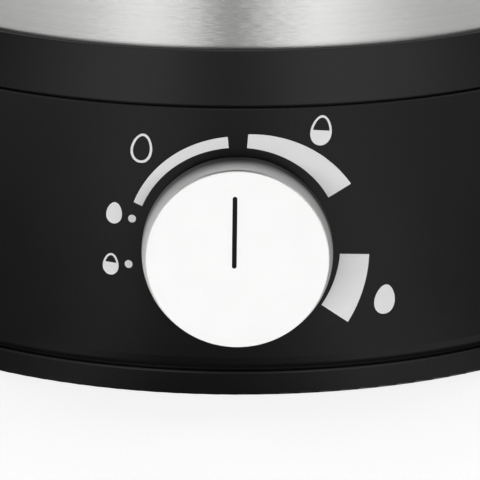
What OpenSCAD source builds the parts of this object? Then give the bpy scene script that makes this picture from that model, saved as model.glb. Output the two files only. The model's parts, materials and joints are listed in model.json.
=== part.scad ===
// Electric egg cooker: a round black base with a timer dial, a brushed steel wall, a water bowl,
// a lift-out egg tray and a clear domed lid. Z is up, the table is z = 0, the dial faces -Y.

/* [Base] */
// Outer radius of the round base
body_r = 85; // [82:0.5:90]
// Height of the feet below the rim of the bottom plate
foot_lift = 1.2; // [1:0.1:2.5]
// Height of the bottom plate's visible rim
rim_h = 5; // [4.2:0.1:7]
// Rounding of that rim's edges
rim_soft = 0.5; // [0.3:0.1:1]
// Height of the main band of the housing
band_h = 53.45; // [52:0.05:60]
// Height of the collar above the main band
collar_h = 10.65; // [9:0.05:16]
// How far the collar leans in from its foot to its lip
collar_lean = 3; // [1:0.1:4]
// Width of the collar's rounded lip
lip_w = 1.1; // [0.8:0.1:2]
// Height of the shadow lines between the stacked parts
shadow_gap = 0.5; // [0.3:0.05:1]
// Wall thickness of the housing
wall_t = 2.6; // [2.2:0.1:3.2]
// Thickness of the bottom plate
plate_t = 2.5; // [2:0.1:3.5]
// Thickness of the shelf that carries the collar and the heat shield
shelf_t = 3; // [2.5:0.1:4]

/* [Feet and screws] */
// Radius of a rubber foot
foot_r = 7; // [5:0.5:9]
// Distance of the feet's centres from the edge of the base
foot_inset = 19; // [17:0.5:26]
// Distance of the base screws from the edge of the base
screw_inset = 10.5; // [9.5:0.1:11.5]
// Radius of the screw posts inside the housing
post_r = 4.5; // [4:0.1:5]
// Radius of the screw shanks
screw_r = 1.5; // [1.2:0.05:1.8]
// Number of vent slots in the bottom plate
vent_count = 20; // [8:1:24]
// Length of a vent slot
vent_len = 13; // [8:0.5:20]
// Width of a vent slot
vent_w = 2.6; // [1.5:0.1:4]

/* [Steel wall and bowl] */
// Height of the steel wall above the collar
shell_h = 31.7; // [28:0.1:45]
// Thickness of the steel wall
shell_t = 0.8; // [0.6:0.1:1.2]
// Radius of the steel wall's rounded shoulder
shoulder_r = 4; // [2.5:0.1:4.5]
// Width from the steel wall's face to the bowl's wall
rim_w = 7.6; // [7:0.1:8.4]
// Thickness of the bowl's sheet
bowl_t = 1; // [0.8:0.1:1.4]
// Depth of the bowl below its rim
bowl_depth = 28.8; // [27:0.1:30]
// Depth of the ledge that carries the tray, below the rim
ledge_drop = 12.6; // [11:0.1:14]
// Width of that ledge
ledge_w = 3.5; // [3:0.1:4.5]
// Radius of the corner between the bowl's wall and floor
floor_corner_r = 5; // [3:0.5:7]
// Thickness of the silicone ring under the bowl's rim
gasket_t = 0.8; // [0.6:0.1:1.5]

/* [Heater] */
// Thickness of the heat spreader
spreader_t = 2.5; // [2.3:0.1:3.5]
// Radius of the ring that the heating tube follows
element_ring_r = 42; // [38:0.5:46]
// Radius of the heating tube
element_r = 3.2; // [2.8:0.1:3.6]
// Angle between the two ends of the heating tube
element_open = 50; // [40:1:80]
// Clear space between the heat spreader and the bowl's studs
spreader_gap = 4.5; // [3:0.1:8]

/* [Egg tray] */
// Least width of tray between two egg seats
seat_web = 7.4; // [6.5:0.1:7.4]
// Width of the tray between an egg seat and the turned-up edge
seat_margin = 4.1; // [3.2:0.1:5]
// Radius of an egg seat
egg_hole_r = 19.5; // [16:0.1:20]
// Thickness of the tray's sheet
tray_t = 1.5; // [1:0.1:2]
// Height of the tray's turned-up edge
tray_edge_h = 3.2; // [2:0.1:5]
// Depth of the turned-down collar of an egg seat
seat_collar_h = 3.6; // [2.5:0.1:5]
// Height of the tray's handle above the tray
handle_h = 50; // [42:0.5:50]
// Outer radius of the finger ring on the handle
finger_ring_r = 14; // [12.5:0.5:15]
// Bar width of the finger ring
finger_bar = 5.4; // [4:0.1:5.5]

/* [Lid] */
// Room between the handle and the screw under the lid
lid_room = 4.5; // [3:0.1:10]
// Thickness of the lid's wall
lid_t = 1.8; // [1.4:0.1:2.4]
// How far the lid's wall stands outside its skirt
lid_step = 3.6; // [3:0.1:5]
// How far the lid's wall leans in over its height
lid_lean = 2.6; // [1:0.1:4]
// Radius of the lid's shoulder
lid_shoulder_r = 15; // [11:0.5:17]
// Rise of the lid's crown above its shoulder
lid_crown = 3.2; // [2:0.1:5]
// Radius of the steam hole
steam_hole_r = 3; // [2:0.1:4]
// Distance of the steam hole from the centre
steam_hole_x = 30; // [26:0.5:40]
// Radius of the lid's knob
lid_knob_r = 19; // [15:0.5:22]
// Height of the lid's knob
lid_knob_h = 16; // [14:0.5:20]

/* [Dial] */
// Height of the dial's axis above the table
dial_z = 31.8; // [30:0.1:33]
// Radius of the dial knob's face
knob_face_r = 17.9; // [16:0.1:20]
// Radius of the dial knob's back edge
knob_back_r = 18.8; // [18:0.1:21]
// Distance of the knob's face from the front of the housing
knob_out = 8; // [7.5:0.1:10]
// Gap between the knob's back edge and the housing
knob_gap = 0.5; // [0.3:0.05:1]
// Wall thickness of the knob
knob_t = 1.8; // [1.4:0.1:2.2]
// Length of the pointer line
pointer_len = 14.6; // [10:0.1:16]
// Width of the pointer line
pointer_w = 0.9; // [0.6:0.05:1.5]
// Height of the pointer line's lower end against the dial's axis
pointer_low = -1.7; // [-4:0.1:1]
// Sideways place of the pointer line on the face
pointer_x = -0.55; // [-1:0.05:1]
// Radius of the dial's shaft
shaft_r = 3; // [2.5:0.05:3.2]
// Width of the control board
board_w = 56; // [54:0.5:60]
// Height of the control board
board_h = 42; // [40:0.5:43]
// Thickness of the control board
board_t = 1.6; // [1.2:0.1:2]

/* [Switch and cord inlet] */
// Height of the rocker switch's middle above the table
switch_z = 31.7; // [28:0.1:36]
// Half height of the rocker's frame
frame_hy = 11; // [10.6:0.1:12]
// Half width of the rocker's frame
frame_hx = 8.2; // [7.8:0.1:9]
// Depth of the recess that holds the switch
pocket_d = 3; // [2.5:0.1:4]
// Radius that the rocker's ends turn on
rocker_r = 8.2; // [7.5:0.1:8.4]
// Tilt of the rocker to either side of level
rocker_tilt = 8; // [5:0.5:10]
// Height of the cord gland's axis above the table
gland_z = 22; // [21:0.5:28]
// Radius of the cord gland's bore
gland_bore_r = 3.6; // [3:0.1:4]
// Reach of the cord gland behind the housing
gland_out = 7; // [6:0.1:9]

/* [Hidden] */

$fn = 96;
fine = 160;
eps = 0.01;

// Clearances
slip = 0.3;          // round a piece that drops or lifts into its place
running = 0.08;      // round a turning shaft or pin
screw_fit = 0.1;     // round a screw's shank
seat_gap = 0.2;      // under a piece that lifts off

// Finishes
black = "#191a1c";
steel = "#c9cacb";
alu = "#b4b6b8";
white = "#f1f1ef";
rubber = "#101112";

// Heights of the stacked base
rim_top = foot_lift + rim_h;
band_low = rim_top + shadow_gap;
band_top = band_low + band_h;
seat_z = band_top + shadow_gap;
collar_top = seat_z + collar_h;
floor_low = foot_lift + 0.5;
floor_top = floor_low + plate_t;
post_low = band_low + 0.5;
shelf_low = seat_z - shelf_t;

// Radii of the base
wall_in = body_r - wall_t;
gap_depth = 1.5;
land_r = body_r - gap_depth;
foot_ring_r = body_r - foot_inset;
screw_ring_r = body_r - screw_inset;
vent_ring_r = 22;
// The terminal block stands on the floor in front of the cord gland, outside the vents' baffle
block_w = 26;
block_d = 15;
block_h = 13;
block_ways = 3;
block_pitch = 8;
block_row = 4;
block_y = body_r - block_d / 2 - 20.5;
baffle_r = block_y - block_d / 2 - 5.5;
baffle_h = 2.5;
locating_t = 1.7;
locating_h = 3.3;
post_angles = [30, 150, 210, 330];
foot_angles = [60, 120, 240, 300];
collar_screw_angles = [45, 135, 225, 315];
gusset_h = 14;
gusset_angles = [15, 60, 75, 105, 120, 165, 180, 195, 240, 300, 345];

// The collar and the steel wall in it
lip_out_r = body_r - collar_lean;
lip_in_r = lip_out_r - lip_w;
shell_r = lip_in_r - slip;
shell_in_r = shell_r - shell_t;
collar_ledge_t = 4.35;
shell_low = seat_z + collar_ledge_t;
shell_top = collar_top + shell_h;
collar_in_r = shell_in_r - 3.8;
collar_screw_ring = (collar_in_r + shell_in_r) / 2 + 0.5;

// The bowl
bowl_out_r = shell_r - rim_w;
bowl_in_r = bowl_out_r - bowl_t;
bowl_rim_z = shell_top + gasket_t + bowl_t;
rim_bend = 1.5;
flange_r = bowl_out_r + 4.4;
ledge_z = bowl_rim_z - ledge_drop;
low_in_r = bowl_in_r - ledge_w;
low_out_r = low_in_r + bowl_t;
bowl_floor = bowl_rim_z - bowl_depth;
bowl_under = bowl_floor - bowl_t;

// The studs under the bowl, and the shelf and shield that they pull down on
stud_r = 2;
stud_angles = [90, 210, 330];
nut_h = 3.2;
nut_r = 4;
stud_ring_r = low_in_r - floor_corner_r - 1;
shield_in_r = stud_ring_r + nut_r + 1;
shelf_in_r = shield_in_r + 0.5;

// The heater below the bowl
spreader_r = stud_ring_r - stud_r - spreader_gap;
spreader_low = bowl_under - spreader_t;
element_z = spreader_low - 2.5;
element_fit = 0.1;
ridge_w = 2 * element_r + 1.8;
leg_r = element_r + 0.2;
leg_low = element_z - 8;
pin_r = 1.3;
pin_len = 5;
tab_w = 6.3;
tab_t = 0.8;
tab_len = 8;
end_angles = [90 - element_open / 2, 90 + element_open / 2];

// The thermostat pressed under the spreader
cap_r = 9;
cap_h = 3;
core_r = 7.5;
core_h = 7;
strap_t = 0.8;
strap_w = 12;
strap_step = 13;
strap_end = 24;
strap_hole_x = 19;
strap_z = spreader_low - cap_h - strap_t;
fuse_r = 2;
fuse_x = 30;
fuse_len = 12;

// The heat shield hung in the shelf
shield_t = 0.6;
shield_r = collar_in_r - slip;
shield_drop = 4.85;
shield_floor = seat_z - shield_drop;

// Screws
head_r = 3.1;
head_h = 2;
base_screw_len = 14.6;
pilot_len = base_screw_len + 2;

// The dial and what is behind it, measured outwards from the axis of the cooker
board_front = body_r - 19;
control_r = 8.5;
control_h = 8;
pin_row_w = 12;
pin_row_h = 4;
pin_row_t = 2.5;
bushing_r = 3.5;
nut_seat = body_r - 0.4;
dial_nut_h = 2.4;
bushing_end = nut_seat + dial_nut_h + 0.1;
dial_nut_r = 5.6;
knob_back = body_r + knob_gap;
knob_face = body_r + knob_out;
face_t = 1.9;
knob_inner = knob_face - face_t;
face_soft = 0.3;
seam_d = 0.35;
seam_front = knob_face - 0.42;
seam_back = seam_front - 0.63;
skirt_steps = 12;
hub_r = 5.8;
hub_low = nut_seat + dial_nut_h + 0.4;
shaft_end = knob_inner - 0.4;
shaft_start = board_front + 1;
shaft_flat = 0.67 * shaft_r;
pointer_d = 0.6;
boss_x = board_w / 2 - 5;
boss_y = [-17.5, 15.5];
board_low = 11 - dial_z;
boss_r = 3.2;
board_screw_r = 1.1;
board_screw_len = 6;

// The rocker switch, measured outwards from the axis of the cooker
frame_t = 1.8;
frame_face = body_r - pocket_d + frame_t;
pivot_z = frame_face - 3;
case_hx = 7;
case_hy = 9.5;
case_d = 17;
rocker_hx = 5.6;
cavity_hx = rocker_hx + slip;
cavity_r = rocker_r + slip;
pivot_r = 1.2;
pad_in = body_r - 8;
vee_rise = 1.5;

// The cord gland, measured outwards from the axis of the cooker
gland_hole_r = 6;
gland_neck_r = gland_hole_r - 0.05;
gland_flange_r = 8.4;
gland_flange_t = 2;
gland_nose_r = 5.4;

// The tray and its handle
tray_r = bowl_in_r - 0.7;
tray_low = ledge_z + seat_gap;
tray_top = tray_low + tray_t;
seat_wall = 1.2;
egg_ring_r = tray_r - egg_hole_r - seat_wall - seat_margin;
// As many seats as there is room for round the tray
egg_count = floor(180 / asin((egg_hole_r + seat_web / 2) / egg_ring_r));
handle_foot_r = 12;
steam_r = 3;
steam_mid_r = 1.8;
steam_in_r = 2;
steam_ring_out = egg_ring_r + egg_hole_r - 5;
steam_ring_mid = egg_ring_r + 5.5;
steam_ring_in = handle_foot_r + 0.4 * (egg_ring_r - egg_hole_r - handle_foot_r);
handle_foot_h = 2.5;
column_r = 5;
handle_top = tray_top + handle_h;
ring_mid_z = handle_top - finger_ring_r;
ring_thick = 9;
tray_screw_r = 1.9;
tray_screw_len = 14;

// The lid
lid_z = bowl_rim_z + seat_gap;
washer_t = 1;
lid_screw_head = 2.2;
lid_boss = lid_t + 0.4;
lid_top = handle_top + lid_room + lid_screw_head + washer_t + lid_boss;
skirt_out_r = bowl_in_r - 0.6;
lid_foot_r = skirt_out_r + lid_step;
lid_flange_r = lid_foot_r + 1.8;
lid_flange_t = 1.8;
skirt_t = 1.6;
skirt_h = 3.6;
// The crown and wall are a little thinner than the shoulder, and run into it this far
lid_thin = 0.05;
lid_lap = 0.8;
lid_side_z = lid_top - lid_crown - lid_shoulder_r;
lid_side_x = lid_foot_r - lid_lean - lid_shoulder_r;
lid_pad_r = 10;
lid_pad_h = 0.8;
pad_top = lid_top + lid_pad_h;
pad_under = lid_top - lid_boss;
lid_hole_r = 2.3;
lid_screw_r = 2;
lid_screw_up = 9;

module around(ring_r, angles) {
    for (a = angles) rotate(a) translate([ring_r, 0, 0]) children();
}

// Local +Z points out of the front, local +Y points up
module at_dial() {
    translate([0, 0, dial_z]) rotate([90, 0, 0]) children();
}

// The four corners of the control board, at a given depth
module at_bosses(depth) {
    for (x = [-boss_x, boss_x]) for (y = boss_y) translate([x, y, depth]) children();
}

// Local +Z points out of the right side, local +Y points up
module at_switch() {
    translate([0, 0, switch_z]) rotate([90, 0, 90]) children();
}

// Local +Z points out of the back
module at_gland() {
    translate([0, 0, gland_z]) rotate([-90, 0, 0]) children();
}

module box(x0, x1, y0, y1, z0, z1) {
    translate([x0, y0, z0]) cube([x1 - x0, y1 - y0, z1 - z0]);
}

module tube(outer, inner, h) {
    difference() {
        cylinder(r = outer, h = h);
        translate([0, 0, -eps]) cylinder(r = inner, h = h + 2 * eps);
    }
}

// A rectangle from x0, y0 to x1, y1
module rect(x0, y0, x1, y1) {
    translate([x0, y0]) square([x1 - x0, y1 - y0]);
}

// A quarter of a ring: the bend of a sheet. side and rise say which quarter of the plane it is in
module bend(x, y, r, t, side, rise) {
    translate([x, y]) intersection() {
        difference() {
            circle(r = r + t, $fn = 48);
            circle(r = r, $fn = 48);
        }
        scale([side, rise]) square(r + t);
    }
}

// A rectangle whose four corners are round
module soft_rect(x0, y0, x1, y1, r) {
    rect(x0 + r, y0, x1 - r, y1);
    rect(x0, y0 + r, x1, y1 - r);
    for (x = [x0 + r, x1 - r]) for (y = [y0 + r, y1 - r]) translate([x, y]) circle(r = r, $fn = 32);
}

module bottom_plate() {
    color(black) difference() {
        union() {
            rotate_extrude($fn = fine) {
                rect(0, floor_low, wall_in - 2, floor_top);
                soft_rect(wall_in - 5, foot_lift, body_r, rim_top, rim_soft);
                rect(wall_in - slip - locating_t, floor_low, land_r, band_low);
                rect(wall_in - slip - locating_t, band_low - eps, wall_in - slip, band_low + locating_h);
            }
            translate([0, 0, floor_low]) around(screw_ring_r, post_angles)
                cylinder(r = post_r + 0.8, h = post_low - floor_low);
            translate([0, 0, floor_top - eps]) tube(baffle_r, baffle_r - 1.6, baffle_h + 0.5);
            translate([0, 0, floor_top - eps]) for (a = [0 : 60 : 359])
                rotate(a) box(baffle_r - 0.5, baffle_r + 14, -0.8, 0.8, 0, baffle_h + eps);
        }
        around(screw_ring_r, post_angles) {
            cylinder(r = head_r + 0.5, h = floor_low + head_h + 0.4);
            cylinder(r = screw_r + 0.3, h = post_low + 1);
        }
        around(foot_ring_r, foot_angles) {
            cylinder(r = foot_r + 0.1, h = floor_low + 0.6);
            cylinder(r = 2.5, h = floor_top + 1);
        }
        for (i = [0 : vent_count - 1]) rotate((i + 0.5) * 360 / vent_count) vent_slot();
    }
}

module vent_slot() {
    far = vent_ring_r + vent_len;
    box(vent_ring_r, far, -vent_w / 2, vent_w / 2, 0, floor_top + 1);
    for (x = [vent_ring_r, far])
        translate([x, 0, 0]) cylinder(d = vent_w, h = floor_top + 1, $fn = 24);
}

module rubber_feet() {
    color(rubber) around(foot_ring_r, foot_angles) {
        rotate_extrude() {
            rect(0, 0, foot_r - 0.8, 0.9);
            rect(0, 0.8, foot_r, floor_low + 0.6);
            translate([foot_r - 0.8, 0.8]) circle(r = 0.8, $fn = 24);
        }
        cylinder(r = 2.4, h = floor_top + 0.1);
        translate([0, 0, floor_top]) cylinder(r1 = 3.4, r2 = 2.2, h = 1.6);
    }
}

// A round head with a cross recess below, and a shank above it
module pan_screw(shank_r, shank_len, cap_radius, cap_height) {
    arm = 0.55 * cap_radius;
    difference() {
        union() {
            rotate_extrude($fn = 48) intersection() {
                translate([0, cap_radius * 1.5]) circle(r = cap_radius * 1.5, $fn = 96);
                rect(0, 0, cap_radius, cap_height);
            }
            translate([0, 0, cap_height - eps]) cylinder(r = shank_r, h = shank_len + eps, $fn = 32);
        }
        for (a = [0, 90]) rotate(a) box(-arm, arm, -0.35, 0.35, -1, 0.6 * cap_height);
    }
}

module base_screws() {
    color(steel) translate([0, 0, floor_low + 0.4]) around(screw_ring_r, post_angles)
        pan_screw(screw_r, base_screw_len, head_r, head_h);
}

module housing() {
    hole_hx = frame_hx + slip;
    hole_hy = frame_hy + slip;
    color(black) difference() {
        union() {
            rotate_extrude($fn = fine) housing_wall();
            intersection() {
                housing_inside();
                cylinder(r = body_r - wall_t / 2, h = shelf_low + 1);
            }
        }
        translate([0, 0, post_low - eps]) around(screw_ring_r, post_angles)
            cylinder(r = screw_r + screw_fit, h = pilot_len, $fn = 32);
        translate([0, 0, shelf_low - 1]) around(collar_screw_ring, collar_screw_angles)
            cylinder(r = screw_r + screw_fit, h = shelf_t + 2, $fn = 32);
        at_dial() {
            translate([0, 0, wall_in - 8]) cylinder(r = bushing_r + screw_fit, h = 12);
            translate([0, 0, nut_seat]) cylinder(r = 8, h = 2);
            at_bosses(board_front - 1)
                cylinder(r = board_screw_r + screw_fit, h = board_screw_len + 1, $fn = 24);
        }
        at_switch() {
            box(-hole_hx, hole_hx, -hole_hy, hole_hy, body_r - pocket_d, body_r + 2);
            box(-case_hx - 0.1, case_hx + 0.1, -case_hy - 0.1, case_hy + 0.1, pad_in - 4, body_r);
        }
        at_gland() translate([0, 0, wall_in - 4]) cylinder(r = gland_hole_r, h = 12);
    }
}

// The band's wall with its undercut foot, and the shelf with a stepped seat for the collar
module housing_wall() {
    polygon([
        [wall_in, band_low], [body_r - 0.9, band_low],
        [body_r - 0.3, band_low + 1], [body_r, band_low + 2.4],
        [body_r, band_top - 0.3], [body_r - 0.3, band_top], [land_r, band_top], [land_r, seat_z],
        [shelf_in_r, seat_z], [shelf_in_r, shelf_low],
        [wall_in - 0.8, shelf_low], [wall_in, shelf_low - 0.8]
    ]);
}

// Posts, gussets, board bosses and the switch's pad, before they are cut to the wall
module housing_inside() {
    rib_low = band_low + locating_h + slip;
    around(screw_ring_r, post_angles) {
        translate([0, 0, post_low]) cylinder(r = post_r, h = shelf_low - post_low + 0.5);
        box(0, body_r - screw_ring_r, -1, 1, rib_low, shelf_low + 0.5);
    }
    for (a = gusset_angles) rotate(a) gusset();
    at_dial() {
        at_bosses(board_front) cylinder(r = boss_r, h = 20);
        translate([0, 0, wall_in - 3]) cylinder(r = bushing_r + 3, h = 5);
    }
    at_switch() box(-frame_hx - 2.5, frame_hx + 2.5, -frame_hy - 2.5, frame_hy + 2.5, pad_in, body_r);
    at_gland() translate([0, 0, wall_in - 1.5]) cylinder(r = gland_flange_r + 1.5, h = 4);
}

// A small web under the shelf
module gusset() {
    near = shelf_in_r + 3;
    far = body_r - 1;
    low = shelf_low - gusset_h;
    translate([0, 0.8, 0]) rotate([90, 0, 0]) linear_extrude(1.6) polygon([
        [near, shelf_low + 0.5], [far, shelf_low + 0.5], [far, low], [wall_in - 1, low],
        [near, shelf_low - 2]
    ]);
}

module collar() {
    lip = lip_w / 2;
    color(black) difference() {
        rotate_extrude($fn = fine) {
            polygon([
                [collar_in_r, seat_z], [body_r - 0.3, seat_z], [body_r, seat_z + 0.3],
                [lip_out_r, collar_top - lip], [lip_in_r, collar_top - lip], [lip_in_r, shell_low],
                [collar_in_r, shell_low]
            ]);
            translate([lip_in_r + lip, collar_top - lip]) circle(r = lip, $fn = 32);
        }
        translate([0, 0, seat_z - 1]) around(collar_screw_ring, collar_screw_angles)
            cylinder(r = screw_r + screw_fit, h = collar_ledge_t, $fn = 32);
    }
}

module collar_screws() {
    reach = shelf_t + collar_ledge_t - 1.4;
    color(steel) translate([0, 0, shelf_low - head_h]) around(collar_screw_ring, collar_screw_angles)
        pan_screw(screw_r, reach, head_r - 0.4, head_h);
}

// The drawn wall: a cylinder that turns over a round shoulder into the rim
module steel_shell() {
    color(steel) rotate_extrude($fn = fine) {
        rect(shell_in_r, shell_low, shell_r, shell_top - shoulder_r);
        bend(shell_r - shoulder_r, shell_top - shoulder_r, shoulder_r - shell_t, shell_t, 1, 1);
        rect(bowl_out_r + 1, shell_top - shell_t, shell_r - shoulder_r, shell_top);
    }
}

// The pressed bowl: rim, upper wall, tray ledge, lower wall, round corner and floor
module heating_bowl() {
    flange_low = bowl_rim_z - bowl_t;
    color(steel) rotate_extrude($fn = fine) {
        rect(bowl_out_r + rim_bend, flange_low, flange_r, bowl_rim_z);
        translate([flange_r, flange_low + bowl_t / 2]) circle(d = bowl_t, $fn = 24);
        bend(bowl_out_r + rim_bend, flange_low - rim_bend, rim_bend, bowl_t, -1, 1);
        rect(bowl_in_r, ledge_z + 1, bowl_out_r, flange_low - rim_bend);
        bend(bowl_in_r - 1, ledge_z + 1, 1, bowl_t, 1, -1);
        rect(low_out_r + 1, ledge_z - bowl_t, bowl_in_r - 1, ledge_z);
        bend(low_out_r + 1, ledge_z - bowl_t - 1, 1, bowl_t, -1, 1);
        rect(low_in_r, bowl_floor + floor_corner_r, low_out_r, ledge_z - bowl_t - 1);
        bend(low_in_r - floor_corner_r, bowl_floor + floor_corner_r, floor_corner_r, bowl_t, 1, -1);
        rect(0, bowl_under, low_in_r - floor_corner_r, bowl_floor);
    }
}

module bowl_gasket() {
    color(rubber) rotate_extrude($fn = fine)
        rect(bowl_out_r + rim_bend + 0.2, shell_top, flange_r - 0.2, shell_top + gasket_t);
}

module bowl_studs() {
    foot = shield_floor - shield_t - nut_h - 2;
    color(steel) translate([0, 0, foot]) around(stud_ring_r, stud_angles)
        cylinder(r = stud_r, h = bowl_under - foot);
}

module hex_nut(across_r, bore_r, h) {
    difference() {
        cylinder(r = across_r, h = h, $fn = 6);
        translate([0, 0, -1]) cylinder(r = bore_r, h = h + 2);
    }
}

module bowl_nuts() {
    color(steel) translate([0, 0, shield_floor - shield_t - nut_h]) around(stud_ring_r, stud_angles)
        hex_nut(nut_r, stud_r + 0.05, nut_h);
}

// A plate with a ridge below, grooved for the heating tube
module heat_spreader() {
    color(alu) difference() {
        union() {
            translate([0, 0, spreader_low]) cylinder(r = spreader_r, h = spreader_t);
            translate([0, 0, element_z]) tube(element_ring_r + ridge_w / 2, element_ring_r - ridge_w / 2,
                spreader_low - element_z + eps);
        }
        translate([0, 0, element_z]) rotate_extrude() translate([element_ring_r, 0])
            circle(r = element_r + element_fit, $fn = 48);
        for (a = end_angles) rotate(a) translate([element_ring_r, 0, element_z])
            cylinder(r = leg_r + element_fit, h = leg_r + element_fit);
        for (x = [-strap_hole_x, strap_hole_x]) translate([x, 0, spreader_low - eps])
            cylinder(r = screw_r + screw_fit, h = 2, $fn = 32);
    }
}

module heating_element() {
    color("#6e6f71") {
        translate([0, 0, element_z]) rotate(end_angles[1]) rotate_extrude(angle = 360 - element_open)
            translate([element_ring_r, 0]) circle(r = element_r, $fn = 48);
        for (a = end_angles) rotate(a) translate([element_ring_r, 0, leg_low])
            cylinder(r = leg_r, h = element_z + leg_r - leg_low);
    }
}

// A push-on tab that hangs from z = 0
module tab(w) {
    box(-w / 2, w / 2, -tab_t / 2, tab_t / 2, -tab_len, 0);
}

module element_terminals() {
    color(steel) for (a = end_angles) rotate(a) translate([element_ring_r, 0, leg_low - pin_len]) {
        cylinder(r = pin_r, h = pin_len, $fn = 32);
        rotate(90) tab(tab_w);
    }
}

module thermostat() {
    core_low = spreader_low - cap_h - core_h;
    color("#2b2320") {
        translate([0, 0, spreader_low - cap_h]) cylinder(r = cap_r, h = cap_h);
        translate([0, 0, core_low]) cylinder(r = core_r, h = core_h + eps);
        for (y = [-4, 4]) translate([0, y, core_low]) tab(tab_w);
    }
}

// A sprung strap that holds the thermostat up against the spreader
module thermostat_strap() {
    half = strap_w / 2;
    wing_z = spreader_low - strap_t;
    color(steel) difference() {
        union() {
            box(-strap_step, strap_step, -half, half, strap_z, strap_z + strap_t);
            translate([0, 0, strap_z]) cylinder(r = core_r + 3, h = strap_t);
            for (s = [-1, 1]) scale([s, 1, 1]) {
                box(strap_step - strap_t, strap_step, -half, half, strap_z, spreader_low);
                box(strap_step - strap_t, strap_end, -half, half, wing_z, spreader_low);
            }
        }
        translate([0, 0, strap_z - 1]) cylinder(r = core_r + 0.2, h = strap_t + 2);
        for (x = [-strap_hole_x, strap_hole_x])
            translate([x, 0, strap_z]) cylinder(r = screw_r + 0.2, h = 20);
    }
}

module strap_screws() {
    head_z = spreader_low - strap_t - head_h;
    color(steel) for (x = [-strap_hole_x, strap_hole_x])
        translate([x, 0, head_z]) pan_screw(screw_r, strap_t + 1.8, head_r, head_h);
}

module thermal_fuse() {
    color("#d8d4c4") translate([fuse_x, -fuse_len / 2, spreader_low - fuse_r]) rotate([-90, 0, 0]) {
        cylinder(r = fuse_r, h = fuse_len, $fn = 48);
        translate([0, 0, -5]) cylinder(r = 0.5, h = fuse_len + 10, $fn = 16);
    }
}

// A dish that hangs in the shelf, open for the studs, the terminals and the thermostat
module heat_shield() {
    low = shield_floor - shield_t;
    color(alu) difference() {
        rotate_extrude($fn = fine) {
            rect(shield_in_r - shield_t, seat_z, shield_r, seat_z + shield_t);
            rect(shield_in_r - shield_t, low, shield_in_r, seat_z + eps);
            rect(14, low, shield_in_r, shield_floor);
        }
        translate([0, 0, low - 1]) {
            around(stud_ring_r, stud_angles) cylinder(r = stud_r + 0.2, h = 3, $fn = 32);
            around(element_ring_r, end_angles) cylinder(r = 5.5, h = 3);
        }
    }
}

module control_board() {
    color("#2f6b45") at_dial() difference() {
        box(-board_w / 2, board_w / 2, board_low, board_low + board_h, board_front - board_t, board_front);
        at_bosses(board_front - 5) cylinder(r = board_screw_r + 2 * screw_fit, h = 10, $fn = 24);
    }
}

module board_screws() {
    head = 1.4;
    color(steel) at_dial() at_bosses(board_front - board_t - head)
        pan_screw(board_screw_r, board_t + board_screw_len - 1, 2.2, head);
}

// The rotary control behind the knob: its case, its pins and its threaded bushing
module dial_control() {
    color("#3a3c40") at_dial() difference() {
        union() {
            translate([0, 0, board_front]) cylinder(r = control_r, h = control_h);
            translate([0, 0, board_front])
                box(-pin_row_w / 2, pin_row_w / 2, -control_r - pin_row_h, 0, 0, pin_row_t);
            translate([0, 0, board_front + control_h - eps])
                cylinder(r = bushing_r, h = bushing_end - board_front - control_h + eps);
        }
        translate([0, 0, board_front + 0.5]) cylinder(r = shaft_r + running, h = body_r);
    }
}

module dial_nut() {
    color(steel) at_dial() translate([0, 0, nut_seat]) hex_nut(dial_nut_r, bushing_r + 0.05, dial_nut_h);
}

// A block on the back of the board, from its low corner on the board
module on_board(at, size) {
    back = board_front - board_t;
    translate([at[0], at[1], back - size[2]]) cube(size);
}

relay_size = [19, 16, 15];
relay_at = [-boss_x, -6];

module relay() {
    color("#1d4f7c") at_dial() on_board(relay_at, relay_size);
}

core_size = [22, 18, 14];
core_at = [boss_x + 1 - core_size[0], -8];
coil_inset = 3.5;
coil_out = 4;

module transformer() {
    color("#c8a648") at_dial() {
        on_board(core_at, core_size);
        on_board(core_at + [coil_inset, coil_inset / 2],
            core_size - [2 * coil_inset, coil_inset, -coil_out]);
    }
}

buzzer_r = 6;
buzzer_h = 9;
buzzer_at = [10 - boss_x, boss_y[0] + 4];

module buzzer() {
    depth = board_front - board_t - buzzer_h;
    color(black) at_dial() translate([buzzer_at[0], buzzer_at[1], depth]) difference() {
        cylinder(r = buzzer_r, h = buzzer_h);
        translate([0, 0, -1]) cylinder(r = buzzer_r / 5, h = 3, $fn = 24);
    }
}

capacitor_size = [16, 7, 12];
capacitor_at = [boss_x - 3 - capacitor_size[0], boss_y[0] - 0.5];

module filter_capacitor() {
    color("#a83c2c") at_dial() on_board(capacitor_at, capacitor_size);
}

module terminal_block() {
    color("#e4e2da") difference() {
        translate([-block_w / 2, block_y - block_d / 2, floor_top]) cube([block_w, block_d, block_h]);
        for (i = [0 : block_ways - 1]) translate([(i - 1) * block_pitch, block_y, 0]) {
            translate([0, 0, floor_top + 5]) rotate([90, 0, 0])
                cylinder(r = 2, h = 2 * block_d, center = true, $fn = 32);
            for (y = [-block_row, block_row]) translate([0, y, floor_top + 5])
                cylinder(r = 1.7, h = block_h, $fn = 32);
        }
    }
}

module terminal_screws() {
    color(steel) for (i = [0 : block_ways - 1]) for (y = [-block_row, block_row])
        translate([(i - 1) * block_pitch, block_y + y, floor_top + 7.2]) difference() {
            cylinder(r = 1.65, h = 4, $fn = 32);
            box(-2, 2, -0.3, 0.3, 3, 5);
        }
}

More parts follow.
